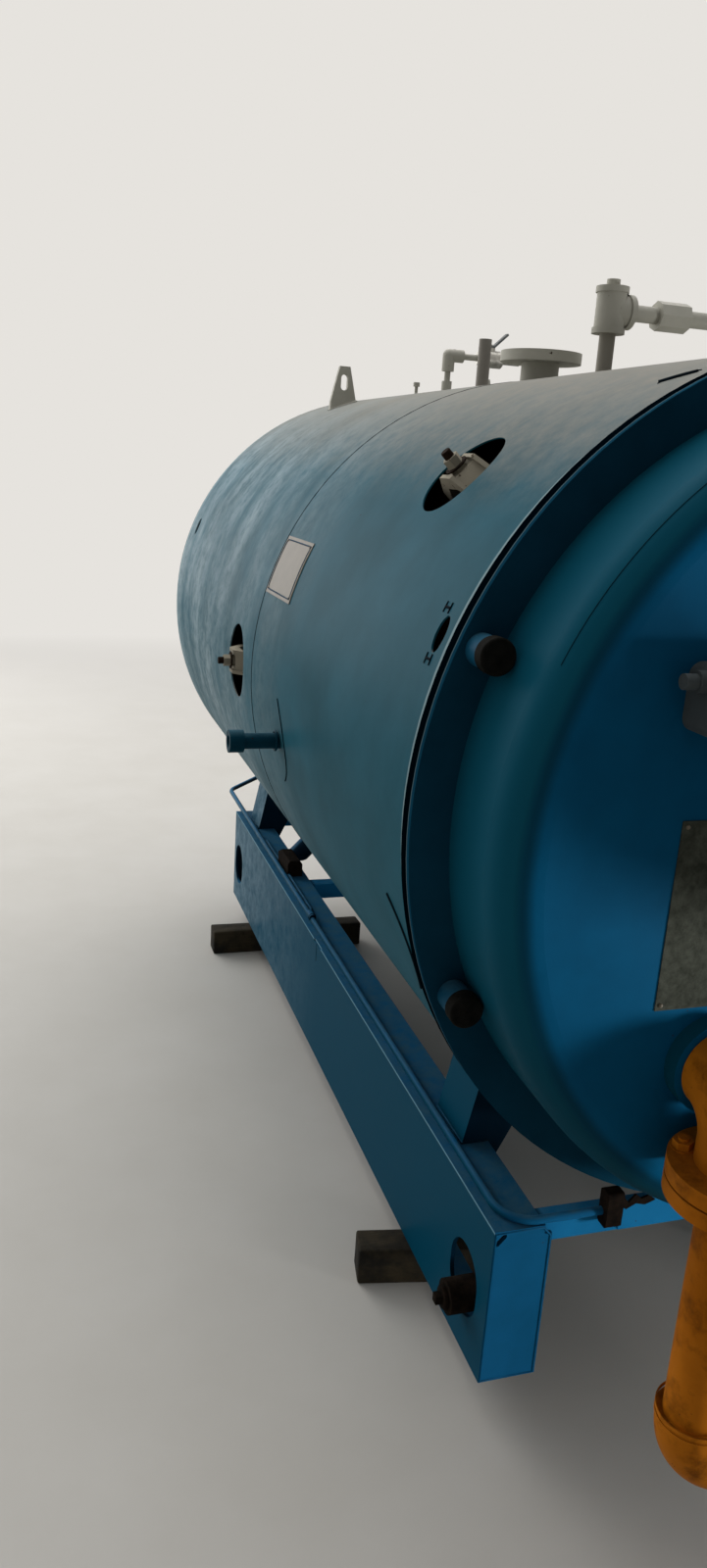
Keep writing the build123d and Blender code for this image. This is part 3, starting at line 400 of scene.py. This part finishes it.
for side, mark in sides:
    for end, y in (("front", beam_front), ("rear", beam_rear)):
        plate = [at(side * x, y, z) for x, z in plate_outline]
        bead("end_plate_weld_" + mark + "_" + end, plate, 0.0022, skid_enamel, closed=True)
    for y in (leg_front, leg_rear - leg_long):
        foot = [at(side * (-leg_out - inner), y + back, beam_top + 1) for inner, back in leg_outline]
        bead("leg_weld_" + mark + "_" + str(round(y)), foot, 0.0032, skid_enamel, closed=True)

# Skid tube
# A thin steel tube laid on the left channel and painted with it, joined by a coupling, with a thinner branch
# that leaves the coupling and passes the rusty fitting.
tube_x, tube_z = -455, -707.8
coupling_y = 1280
branch_way = ((0, 5, -3.2), (6, 30, -6.2), (15, 57, -7.2))


def rod(bm, radius, length, point, direction=None, faces=24, tip=None, capped=True):
    """Adds a bar of so many faces about a point, upright or along a direction, tapering to tip."""
    turn = Matrix()
    if direction:
        turn = Vector(direction).normalized().to_track_quat("Z", "Y").to_matrix().to_4x4()
    bmesh.ops.create_cone(bm, cap_ends=capped, segments=faces, radius1=radius, radius2=tip or radius,
                          depth=length, matrix=Matrix.Translation(point) @ turn)


coupling = bmesh.new()
for radius, length in ((0.0098, 0.036), (0.0112, 0.024)):
    rod(coupling, radius, length, at(tube_x, coupling_y, tube_z), (0, 1, 0))
piece("tube_coupling", coupling, skid_enamel)
branch = [at(tube_x + x, coupling_y + y, tube_z + z) for x, y, z in branch_way]
bead("tube_branch", branch, 0.0045, skid_enamel)

# Rusty fittings and drain pipe
# Bare malleable iron: a fitting on the channel, a clamp on the front bar with a torn plate beside it, and a
# pipe end with a square-headed plug that lies in the front lifting hole. All of it has rusted brown.


def middle(node):
    """The middle of a CAD node's box, in the millimetres that at takes."""
    return [(low + high) / 2 for low, high in zip(*span(node))]


def mottled(name, dark, light, rough, metallic=0.0):
    """A pitted surface in two tones, in spots about 16 mm wide: rusted iron, primer, old plate or sheet."""
    made, shader, spot = new_material(name)
    blot = add(made, "ShaderNodeTexNoise", {"Scale": grain_of(16), "Detail": 8.0, "Roughness": 0.7},
               {"Vector": spot})
    tone = add(made, "ShaderNodeValToRGB", {}, {"Fac": blot.outputs["Fac"]})
    for element, position, colour in zip(tone.color_ramp.elements, (0.36, 0.66), (dark, light)):
        element.position = position
        element.color = linear(colour)
    wire(made, tone.outputs["Color"], shader.inputs["Base Color"])
    shader.inputs["Roughness"].default_value = rough
    shader.inputs["Metallic"].default_value = metallic
    shader.inputs["Specular IOR Level"].default_value = 0.03
    pit = add(made, "ShaderNodeBump", {"Strength": 0.5, "Distance": 0.0012}, {"Height": blot.outputs["Fac"]})
    wire(made, pit.outputs[0], shader.inputs["Normal"])
    return made


# Cast iron left bare: dark brown and dull all over
rust = mottled("rusted_malleable_iron", "#0e0c0a", "#221a14", 0.85)
coat(rust, "rusty_fittings", "drain_pipe")
drain_end = span("drain_pipe")[0][0]
_, drain_y, drain_z = middle("drain_pipe")
plug = bmesh.new()
rod(plug, 0.030, 0.016, at(drain_end + 10, drain_y, drain_z), (1, 0, 0), 32)
rod(plug, 0.022, 0.008, at(drain_end - 4, drain_y, drain_z), (1, 0, 0), 8)
square = bmesh.ops.create_cube(plug, size=0.017)["verts"]
bmesh.ops.translate(plug, vec=at(drain_end - 13, drain_y, drain_z), verts=square)
soften(plug, 0.0016)
piece("drain_plug", plug, rust)
ragged = ((-248, -706), (-236, -695), (-228, -704), (-216, -690), (-204, -700), (-190, -696), (-176, -706),
          (-196, -713), (-214, -708), (-232, -717))
torn = bmesh.new()
face = torn.faces.new([torn.verts.new(at(x, -1.0, z)) for x, z in ragged])
lifted = bmesh.ops.extrude_face_region(torn, geom=[face])["geom"]
bmesh.ops.translate(torn, vec=(0, -0.004, 0), verts=[v for v in lifted if isinstance(v, bmesh.types.BMVert)])
piece("torn_plate", torn, rust, smooth=False)

# Pressure shell and hand holes
# The rolled steel shell under the jacket, in dark primer. Each hand hole has a welded rim, a plug drawn up
# from inside by a stud, and a cream-painted cast yoke and nut over it.
shell_radius = span("pressure_shell")[1][0]
stud_up, thread_pitch, washer_up = 112.5, 1.35, 94.4
# Each hand hole's angle about the axis and its place along it
hand_holes = ((136.4, 371.0), (180.6, 1270.0))


def on_circle(radius, angle):
    """Both coordinates of a point on a circle, from its angle in degrees."""
    return radius * math.cos(math.radians(angle)), radius * math.sin(math.radians(angle))


def round_at(angle, y, radius):
    """Point on the boiler's round side, from its angle about the axis, place along it and radius."""
    x, z = on_circle(radius, angle)
    return at(x, y, z)


# Primer brushed on rolled plate: red brown, dark and without gloss
primer = mottled("dark_shell_primer", "#3a1c15", "#552a20", 0.88)
coat(primer, "pressure_shell")
# Forged steel with scale from welding: nearly black, brown in spots
rim_iron = mottled("scaled_rim_steel", "#15110f", "#33261d", 0.80)
coat(rim_iron, "hand_hole_rims", "hand_hole_plugs")
# Brushed cream paint on a casting: greyed and worn
yoke_paint = enamel("worn_cream_paint", "#958f80", "#7a7467", "#b5ad98", 0.35, 0.66, 0.50)
coat(yoke_paint, "hand_hole_bridges", "hand_hole_nuts")
studs = bmesh.new()
for angle, y in hand_holes:
    x, z = on_circle(1, angle)
    for step in range(9):
        ridge = round_at(angle, y, shell_radius + stud_up + step * thread_pitch)
        rod(studs, 0.0089, 0.0009, ridge, (x, 0, z), 20, tip=0.0080)
    rod(studs, 0.0205, 0.0028, round_at(angle, y, shell_radius + washer_up), (x, 0, z), 28)
piece("hand_hole_threads", studs, rim_iron)

# Sheet jacket
# Thin steel sheet rolled over the insulation in two sections that lap at a seam, sprayed blue. The sheet has
# slight dents, the enamel is clouded and dusty on its upper half, and its edges are hemmed.
jacket_radius = round((jacket_high[0] - jacket_low[0]) * 500, 1)
seam_y, jacket_length = span("jacket_rear")[0][1], span("jacket_rear")[1][1]
half_length = jacket_length / 2000
# Metres behind the part's middle
jacket_sheen_from, jacket_sheen_full = -0.32, 0.62
# Jacket paint, sprayed on rolled sheet: half matt, with slight orange peel over shallow dents
jacket_enamel = enamel("jacket_enamel", "#144a58", "#20596a", "#a09a8e", 0.60, 0.742, 0.50, peel=0.35)
place, facing = place_of(jacket_enamel), facing_of(jacket_enamel)
jacket_spot = jacket_enamel.node_tree.nodes["own place"].outputs["Object"]
# Painted sheen: a mottled pale bloom of light grows towards the rear, in patches about 380 by 170 mm
streak_way = add(jacket_enamel, "ShaderNodeMapping", {"Scale": (1.0, 2.2, 1.0)}, {"Vector": jacket_spot})
streak = add(jacket_enamel, "ShaderNodeTexNoise", {"Scale": grain_of(380), "Detail": 7.0, "Roughness": 0.60},
             {"Vector": streak_way.outputs[0]})
specks = jacket_enamel.node_tree.nodes["specks"].outputs["Fac"]
over(jacket_enamel, "#879ca4", (place["Y"], jacket_sheen_from, jacket_sheen_full, 0.95),
     (streak.outputs["Fac"], 0.30, 0.66), (specks, 0.24, 0.58))
# Painted highlight: the last 16 mm at both ends are pale
halfway = at(0, jacket_length / 2, 0).y
from_middle = add(jacket_enamel, "ShaderNodeMath", {"operation": "SUBTRACT", 1: halfway}, {0: place["Y"]})
apart = add(jacket_enamel, "ShaderNodeMath", {"operation": "ABSOLUTE"}, {0: from_middle.outputs[0]})
over(jacket_enamel, "#8ba4aa", (apart.outputs[0], half_length - 0.0185, half_length - 0.0160, 0.75))
# Grey dust lies on the crest
over(jacket_enamel, "#8a867d", (facing["Z"], 0.66, 0.95, 0.75))
dent = add(jacket_enamel, "ShaderNodeTexNoise", {"Scale": grain_of(380), "Detail": 2.0, "Roughness": 0.4},
           {"Vector": jacket_spot})
wave = add(jacket_enamel, "ShaderNodeBump", {"Strength": 0.5, "Distance": 0.012},
           {"Height": dent.outputs["Fac"], "Normal": jacket_enamel.node_tree.nodes["skin"].outputs["Normal"]})
wire(jacket_enamel, wave.outputs["Normal"], jacket_enamel.node_tree.nodes["Principled BSDF"].inputs["Normal"])
coat(jacket_enamel, "jacket_front", "jacket_rear")
# Painted shade for open gaps in the sheet: the dark that shows between two edges
seam_shadow = mottled("open_gap_shade", "#0a1218", "#101c24", 0.9)
for name, y, inset, radius, finish in (("jacket_front_hem", 1.3, 1.4, 0.0013, jacket_enamel),
                                       ("jacket_rear_hem", jacket_length - 1.3, 1.4, 0.0013, jacket_enamel),
                                       ("jacket_seam", seam_y, 1.1, 0.0021, seam_shadow)):
    hoop = [round_at(angle, y, jacket_radius - inset) for angle in range(0, 360, 3)]
    bead(name, hoop, radius, finish, closed=True)

# Slits in the jacket
# Cuts left by forming and fitting the sheet: keyhole slots beside the oval holes, a curved cut round each
# nozzle, a crescent low at the front and a long slot near the crest. Each is drawn as painted shade.
arc_per_degree = jacket_radius * math.pi / 180
# Each slot's angle about the axis and its place along it
key_slots = ((155.1, 68), (161.5, 56))
key_half, key_bar_half = 9, 0.7


def cut(name, corners, width):
    """A narrow dark bead of painted shade for a cut, through the given angles and places on the jacket."""
    line = []
    for (a0, y0), (a1, y1) in zip(corners, corners[1:]):
        steps = max(2, round(math.hypot((a1 - a0) * arc_per_degree, y1 - y0) / 8))
        shares = [i / steps for i in range(steps)]
        line += [round_at(a0 + (a1 - a0) * s, y0 + (y1 - y0) * s, jacket_radius + 0.05) for s in shares]
    line.append(round_at(*corners[-1], jacket_radius + 0.05))
    bead(name, line, width / 2000, seam_shadow)


def arc_through(first, second, last, count=14):
    """Angles and places on a smooth arc through three of them."""
    out = []
    for i in range(count + 1):
        t = i / count
        w0, w1, w2 = 2 * (t - 0.5) * (t - 1), -4 * t * (t - 1), 2 * t * (t - 0.5)
        out.append(tuple(w0 * p + w1 * q + w2 * r for p, q, r in zip(first, second, last)))
    return out


def on_side(side, corners):
    """Corners given for the left side, mirrored where they are wanted on the right."""
    return [(angle if side < 0 else 180 - angle, y) for angle, y in corners]


for side, mark in sides:
    cut("nozzle_cut_" + mark, on_side(side, arc_through((180.4, 813), (189.3, 759), (195.6, 814))), 3.2)
    cut("crescent_cut_" + mark, on_side(side, arc_through((193.2, 104), (198.6, 36), (205.3, 49))), 5.0)
    for angle, y in key_slots:
        label = mark + "_" + str(int(angle))
        cut("key_cut_" + label, on_side(side, [(angle, y - key_half), (angle, y + key_half)]), 4.0)
        for end in (-key_half, key_half):
            bar = on_side(side, [(angle - key_bar_half, y + end), (angle + key_bar_half, y + end)])
            cut("key_bar_" + label + "_" + str(end + key_half), bar, 3.0)
cut("crest_cut", [(116.2, 120), (114.6, 98), (113.2, 74)], 7.0)
cut("crest_cut_rim", arc_through((116.6, 116), (113.6, 108), (112.6, 76)), 2.4)

# Label plates
# Thin sheet plates, left blank: one riveted to the jacket beside the seam with a dark blue border, gone grey
# with handling, and a larger one on the head, dark with painted shade.
label_low, label_high = 153.7, 163.5
label_front, label_rear = span("side_label_plate")[0][1] + 9, span("side_label_plate")[1][1] - 9
label_corners = ((label_low, label_front), (label_high, label_front),
                 (label_high, label_rear), (label_low, label_rear))
border_steps = 8
label_rivet_in = 4
(plate_left, plate_face, plate_foot), (plate_right, _, plate_top) = span("head_plate")
plate_rivet_in = 8
# Rolled aluminium, smeared by hands: a warm grey with a slight gloss
plate_metal, plate_shader, spot = new_material("brushed_dull_aluminium")
plate_shader.inputs["Roughness"].default_value = 0.5
plate_shader.inputs["Specular IOR Level"].default_value = 0.2
smear = add(plate_metal, "ShaderNodeTexNoise", {"Scale": grain_of(42), "Detail": 6.0, "Roughness": 0.6},
            {"Vector": spot})
tint = add(plate_metal, "ShaderNodeMixRGB", {"Color1": linear("#766e60"), "Color2": linear("#625b4e")},
           {"Fac": smear.outputs["Fac"]})
wire(plate_metal, tint.outputs[0], plate_shader.inputs["Base Color"])
coat(plate_metal, "side_label_plate")
# Plate metal darkened to a greenish grey, flat: painted shade of the burner
dull_plate = mottled("shaded_plate_metal", "#31342d", "#494c44", 0.70)
coat(dull_plate, "head_plate")
# Printed border: dark blue ink gone a little grey, matt
border_ink = mottled("faded_blue_border", "#1c3346", "#2a4559", 0.6)
border = []
for (a0, y0), (a1, y1) in zip(label_corners, label_corners[1:] + label_corners[:1]):
    shares = [i / border_steps for i in range(border_steps)]
    border += [round_at(a0 + (a1 - a0) * s, y0 + (y1 - y0) * s, jacket_radius + 1.6) for s in shares]
bead("label_border", border, 0.0017, border_ink, closed=True)
label_rivets = [(0.0030, round_at(angle, y, jacket_radius + 1.4))
                for angle in (label_low + 0.2, label_high - 0.2)
                for y in (label_front + label_rivet_in, label_rear - label_rivet_in)]
head_rivets = [(0.0032, at(x, plate_face - 0.2, z))
               for x in (plate_left + plate_rivet_in, plate_right - plate_rivet_in)
               for z in (plate_foot + plate_rivet_in, plate_top - plate_rivet_in)]
rivets = bmesh.new()
for radius, place in label_rivets + head_rivets:
    bmesh.ops.create_uvsphere(rivets, u_segments=14, v_segments=8, radius=radius,
                              matrix=Matrix.Translation(place))
piece("plate_rivets", rivets, plate_metal)

# Side nozzles
# Pipe stubs welded into the shell a little below nine and three o'clock, each ending in a steel coupling,
# sprayed with the jacket. A fillet weld shows round the pipe.
_, nozzle_y, nozzle_z = middle("side_nozzle_left")
weld_angles = [step * 11.25 for step in range(32)]
# The jacket's enamel with painted shade: deeper and less dusty
nozzle_enamel = enamel("nozzle_enamel", "#093040", "#0f4252", "#3f6472", 0.55, 0.72, 0.42)
coat(nozzle_enamel, "side_nozzle_left", "side_nozzle_right")
for side, mark in sides:
    ring = [at(side * (jacket_radius + 1.2), nozzle_y + y, nozzle_z + z)
            for y, z in (on_circle(20.0, angle) for angle in weld_angles)]
    bead("nozzle_weld_" + mark, ring, 0.0026, nozzle_enamel, closed=True)

# End flanges, head and clamp studs
# The pressed head is bolted to a ring flange. It has the smoothest and deepest blue; the flange behind it
# stays in shadow. Painted sleeves and dark round nuts of the clamps stand on the ring.
stud_places = ((615, 248), (609.3, -258.1))
sleeve_y = -61
knuckle_line_y, knuckle_line_radius = -192.2, 628.6
cover_nut_circle, cover_nut_y = 648, span("rear_cover")[0][1] + 6


def axis_distance(material):
    """How far the shaded point is from the boiler's axis, in metres."""
    place = place_of(material)
    up = add(material, "ShaderNodeMath", {"operation": "SUBTRACT", 1: axis_height / 1000}, {0: place["Z"]})
    centred = add(material, "ShaderNodeCombineXYZ", {}, {"X": place["X"], "Z": up.outputs[0]})
    distance = add(material, "ShaderNodeVectorMath", {"operation": "LENGTH"}, {0: centred.outputs[0]})
    return distance.outputs["Value"]


# Head paint, sprayed on a smooth pressing. Painted light: the rounded rim is a greener blue, with painted
# shade low down, and a dark ring of painted shade lies in the crease where the rim meets the flat
head_enamel = enamel("head_enamel", "#05486a", "#07547a", "#2a5c70", 0.55, 0.760, 0.48)
face_on = add(head_enamel, "ShaderNodeMath", {"operation": "ABSOLUTE"}, {0: facing_of(head_enamel)["Y"]})
rim = (face_on.outputs[0], 0.97, 0.80)
low_from, low_full = 1.02, 0.72
radius = axis_distance(head_enamel)
# Painted light: a greener blue where the rim turns away from the front
over(head_enamel, "#0e5063", (*rim, 0.90))
# Painted shade on the rim's lower part
over(head_enamel, "#062f3d", (*rim, 0.55), (place_of(head_enamel)["Z"], low_from, low_full))
# Painted shade in the crease between rim and flat
over(head_enamel, "#052c3c", (radius, 0.588, 0.600, 0.6), (radius, 0.614, 0.604))
coat(head_enamel, "front_head", "gas_collar", "rear_cover", "smoke_outlet")
# Flange paint, sprayed on cut plate: matt and dark. The front rim is painted black as shade in the gap,
# behind a thin painted highlight along its edge
flange_enamel = enamel("flange_enamel", "#0c3447", "#124056", "#23566e", 0.55, 0.760, 0.70, shine=0.0)
radius, back = axis_distance(flange_enamel), place_of(flange_enamel)["Y"]
face = at(0, span("front_flange")[0][1], 0).y
# Painted shade: the rim black in the gap
over(flange_enamel, "#00060c", (radius, 0.6900, 0.6915), (back, face + 0.0109, face + 0.0115))
# Painted highlight: a thin pale line along the rim's edge
over(flange_enamel, "#4f646c", (back, face + 0.0085, face + 0.0090), (back, face + 0.0115, face + 0.0110),
     (radius, 0.6910, 0.6925))
coat(flange_enamel, "front_flange", "rear_flange")
# Turned steel nuts covered in old oil: black without a gleam
nut_iron = mottled("dark_nut_iron", "#0b0d0b", "#1b1a18", 0.80)
coat(nut_iron, "head_studs")
# The head's paint on the studs, dusty and a little paler
sleeve_enamel = enamel("sleeve_enamel", "#0f3f57", "#17526e", "#3a6478", 0.4, 0.68, 0.45)
sleeves = bmesh.new()
for x, z in stud_places:
    for side in (-1, 1):
        rod(sleeves, 0.0232, 0.036, at(side * x, sleeve_y, z), (0, 1, 0), 32)
piece("stud_sleeves", sleeves, sleeve_enamel)
# A thin dark line round the knuckle
knuckle_line = [round_at(angle, knuckle_line_y, knuckle_line_radius) for angle in range(112, 158, 2)]
bead("knuckle_dark_line", knuckle_line, 0.0004, seam_shadow)
cover_nuts = bmesh.new()
for angle in range(0, 360, 15):
    rod(cover_nuts, 0.0125, 0.012, round_at(angle, cover_nut_y, cover_nut_circle), (0, 1, 0), 6)
piece("rear_cover_nuts", cover_nuts, nut_iron)

# Connection box
# Grey cast housing on the head with cooling ribs across it and a cable gland at its upper left.
rib_pitch, rib_thick, rib_deep = 11, 0.0045, 0.006
(box_left, box_front, box_foot), (box_right, _, box_top) = span("connection_box")
box_x, gland_y, _ = middle("connection_box")
gland_z = box_top - 19
# Grey sprayed on a casting: even and matt, darkened all over as painted shade of the burner
box_grey = enamel("box_grey_paint", "#454b4d", "#52595b", "#6a7071", 0.3, 0.74, 0.45)
coat(box_grey, "connection_box")
ribs = bmesh.new()
for i in range(1, 8):
    bar = bmesh.ops.create_cube(ribs, size=1.0)["verts"]
    bmesh.ops.scale(ribs, vec=((box_right - box_left) / 1000 - 0.03, rib_deep, rib_thick), verts=bar)
    bmesh.ops.translate(ribs, vec=at(box_x, box_front - 1, box_foot + i * rib_pitch), verts=bar)
soften(ribs, 0.001)
for radius, length, out in ((0.014, 0.012, 6), (0.010, 0.018, 21)):
    rod(ribs, radius, length, at(box_left - out, gland_y, gland_z), (1, 0, 0))
piece("connection_box_ribs", ribs, box_grey)

# Burner
# Forced-draught burner on the head's middle: a mounting flange with nuts, a closed air casing and a finned
# fan motor on its right. It is out of the photograph, so it has only what such burners have.
nut_circle, nut_y = 176, span("burner_flange")[0][1] - 4
fin_pitch, first_fin = 12.5, span("fan_motor")[0][0] + 55
_, motor_y, motor_z = middle("fan_motor")
# Sprayed motor paint: dark grey, dull, a little dusty on top
motor_grey = enamel("motor_paint", "#2a3238", "#353e44", "#56595a", 0.3, 0.74, 0.45)
coat(head_enamel, "burner_flange", "burner_casing")
coat(motor_grey, "fan_motor")
burner_nuts = bmesh.new()
for angle in range(0, 360, 45):
    rod(burner_nuts, 0.0125, 0.010, round_at(angle, nut_y, nut_circle), (0, 1, 0), 6)
piece("burner_nuts", burner_nuts, nut_iron)
fins = bmesh.new()
for i in range(11):
    rod(fins, 0.0955, 0.003, at(first_fin + i * fin_pitch, motor_y, motor_z), (1, 0, 0), 48)
piece("motor_fins", fins, motor_grey)

# Gas line
# Three-inch steel pipe and fittings in thick orange gas paint, chipped and grimy. The flange pair is drawn
# up by four hex bolts, painted over, with a sheet gasket between.
gas_x, gas_y, joint_z = middle("gas_gasket")
elbow_top = span("gas_foot_elbow")[1][2]
bolt_circle = 0.0762
bolt_parts = (
    # height over the joint, radius, length, faces: nuts, washers, shank
    (0.0322, 0.0145, 0.0108, 6), (-0.0322, 0.0145, 0.0108, 6),
    (0.0262, 0.0165, 0.0016, 24), (-0.0262, 0.0165, 0.0016, 24),
    (0, 0.0078, 0.084, 16),
)
# Brushed gas paint: thick, half matt, with brown grime in blots 20 to 60 mm wide
gas_paint = enamel("orange_gas_paint", "#a05b10", "#c4751c", "#84501c", 0.35, 0.70, 0.42, peel=0.5)
gas_spot = gas_paint.node_tree.nodes["own place"].outputs["Object"]
blots = add(gas_paint, "ShaderNodeTexNoise", {"Scale": grain_of(59), "Detail": 7.0, "Roughness": 0.68},
            {"Vector": gas_spot})
over(gas_paint, "#683a0d", (blots.outputs["Fac"], 0.50, 0.66, 0.75))
coat(gas_paint, "gas_elbow", "gas_drop_pipe", "gas_foot_elbow")
# Pressed fibre sheet: black, without gloss
gasket_black = mottled("compressed_gasket_sheet", "#0c0b0a", "#181614", 0.92)
coat(gasket_black, "gas_gasket")
gas_bolts = bmesh.new()
for angle in (45, 135, 225, 315):
    x, y = on_circle(bolt_circle, angle)
    for z, radius, length, faces in bolt_parts:
        rod(gas_bolts, radius, length, at(gas_x, gas_y, joint_z) + Vector((x, y, z)), faces=faces)
piece("gas_flange_bolts", gas_bolts, gas_paint)
bands = bmesh.new()
for z in (elbow_top + 5, elbow_top - 5):
    rod(bands, 0.0556, 0.006, at(gas_x, gas_y, z), faces=48, capped=False)
bmesh.ops.solidify(bands, geom=bands.faces[:], thickness=0.0012)
piece("foot_elbow_bands", bands, gas_paint)

# Top fittings
# Pipe fittings under old grey paint: the flanged steam outlet, the relief line with its tee and union, and
# two plate lifting lugs; the riser, the vent pipe and the ball valve with its lever are bare weathered metal.
tee_y = middle("relief_riser")[1]
tee_foot, tee_top, tee_radius, band_long = 770, 862, 0.0345, 0.012
# Each weld's mark, the node that it holds and its radius
collars = (
    ("relief", "relief_riser", 18.0),
    ("vent", "vent_pipe", 18.0),
    ("bleed", "bleed_pipe", 10.0),
    ("steam", "steam_outlet", 46.2),
)
lug_x, lug_half, lug_half_thick = 230, 40, 9
lug_y = middle("lifting_lugs")[1]
knob_y = 2026
# Brushed grey paint gone chalky: pale, warm and matt
pipe_grey = enamel("chalky_grey_paint", "#a9a79c", "#c0beb3", "#cfcbc2", 0.3, 0.70, 0.50)
coat(pipe_grey, "steam_outlet", "relief_branch", "bleed_pipe", "lifting_lugs")
# Hot-dip zinc darkened by weather: a flat brownish grey
vent_zinc = enamel("weathered_zinc", "#86827b", "#9a958d", "#b3aea5", 0.3, 0.70, 0.50)
coat(vent_zinc, "vent_pipe")
# The same grey paint on the tee; the riser below it is bare darkened pipe
riser_grey = enamel("riser_grey_paint", "#a9a79c", "#c0beb3", "#cfcbc2", 0.3, 0.70, 0.50)
tee_edge = at(0, 0, tee_foot).z
over(riser_grey, "#8f8b81", (place_of(riser_grey)["Z"], tee_edge + 0.001, tee_edge - 0.001))
coat(riser_grey, "relief_riser")
# Forged brass with a worn nickel plate: metal, with a soft gloss
valve_metal = mottled("dull_plated_brass", "#8a8882", "#b5b2ab", 0.42, metallic=0.85)
coat(valve_metal, "ball_valve")
# Pressed steel lever, zinc plated: darker metal
lever_metal = mottled("plated_lever_steel", "#4c4f50", "#6d7071", 0.45, metallic=0.8)
coat(lever_metal, "valve_lever")
tee_bands = bmesh.new()
for z in (tee_foot + 6, tee_top - 6):
    rod(tee_bands, tee_radius, band_long, at(0, tee_y, z), faces=40, capped=False)
branch_band = at(40, tee_y, (tee_foot + tee_top) / 2)
rod(tee_bands, tee_radius, band_long, branch_band, (1, 0, 0), 40, capped=False)
bmesh.ops.solidify(tee_bands, geom=tee_bands.faces[:], thickness=0.0030)
piece("tee_bands", tee_bands, pipe_grey)
for mark, node, radius in collars:
    y = middle(node)[1]
    ring = [at(x, y + back, math.sqrt((jacket_radius + 0.8) ** 2 - x ** 2))
            for x, back in (on_circle(radius, angle) for angle in weld_angles)]
    bead("collar_weld_" + mark, ring, 0.0022, jacket_enamel, closed=True)
knob = bmesh.new()
rod(knob, 0.0050, 0.038, at(0, knob_y, 703), faces=20)
rod(knob, 0.0100, 0.012, at(0, knob_y, 724), faces=20)
piece("knobbed_rod", knob, pipe_grey)
lug_z = math.sqrt((jacket_radius + 0.8) ** 2 - lug_x ** 2)
lug_outline = ((-1, -1, 14), (1, -1, -16), (1, 1, -16), (-1, 1, 14))
for side, mark in sides:
    foot = [at(side * (lug_x + lug_half * across_lug), lug_y + lug_half_thick * along_lug, lug_z + z)
            for across_lug, along_lug, z in lug_outline]
    bead("lug_weld_" + mark, foot, 0.0030, pipe_grey, closed=True)
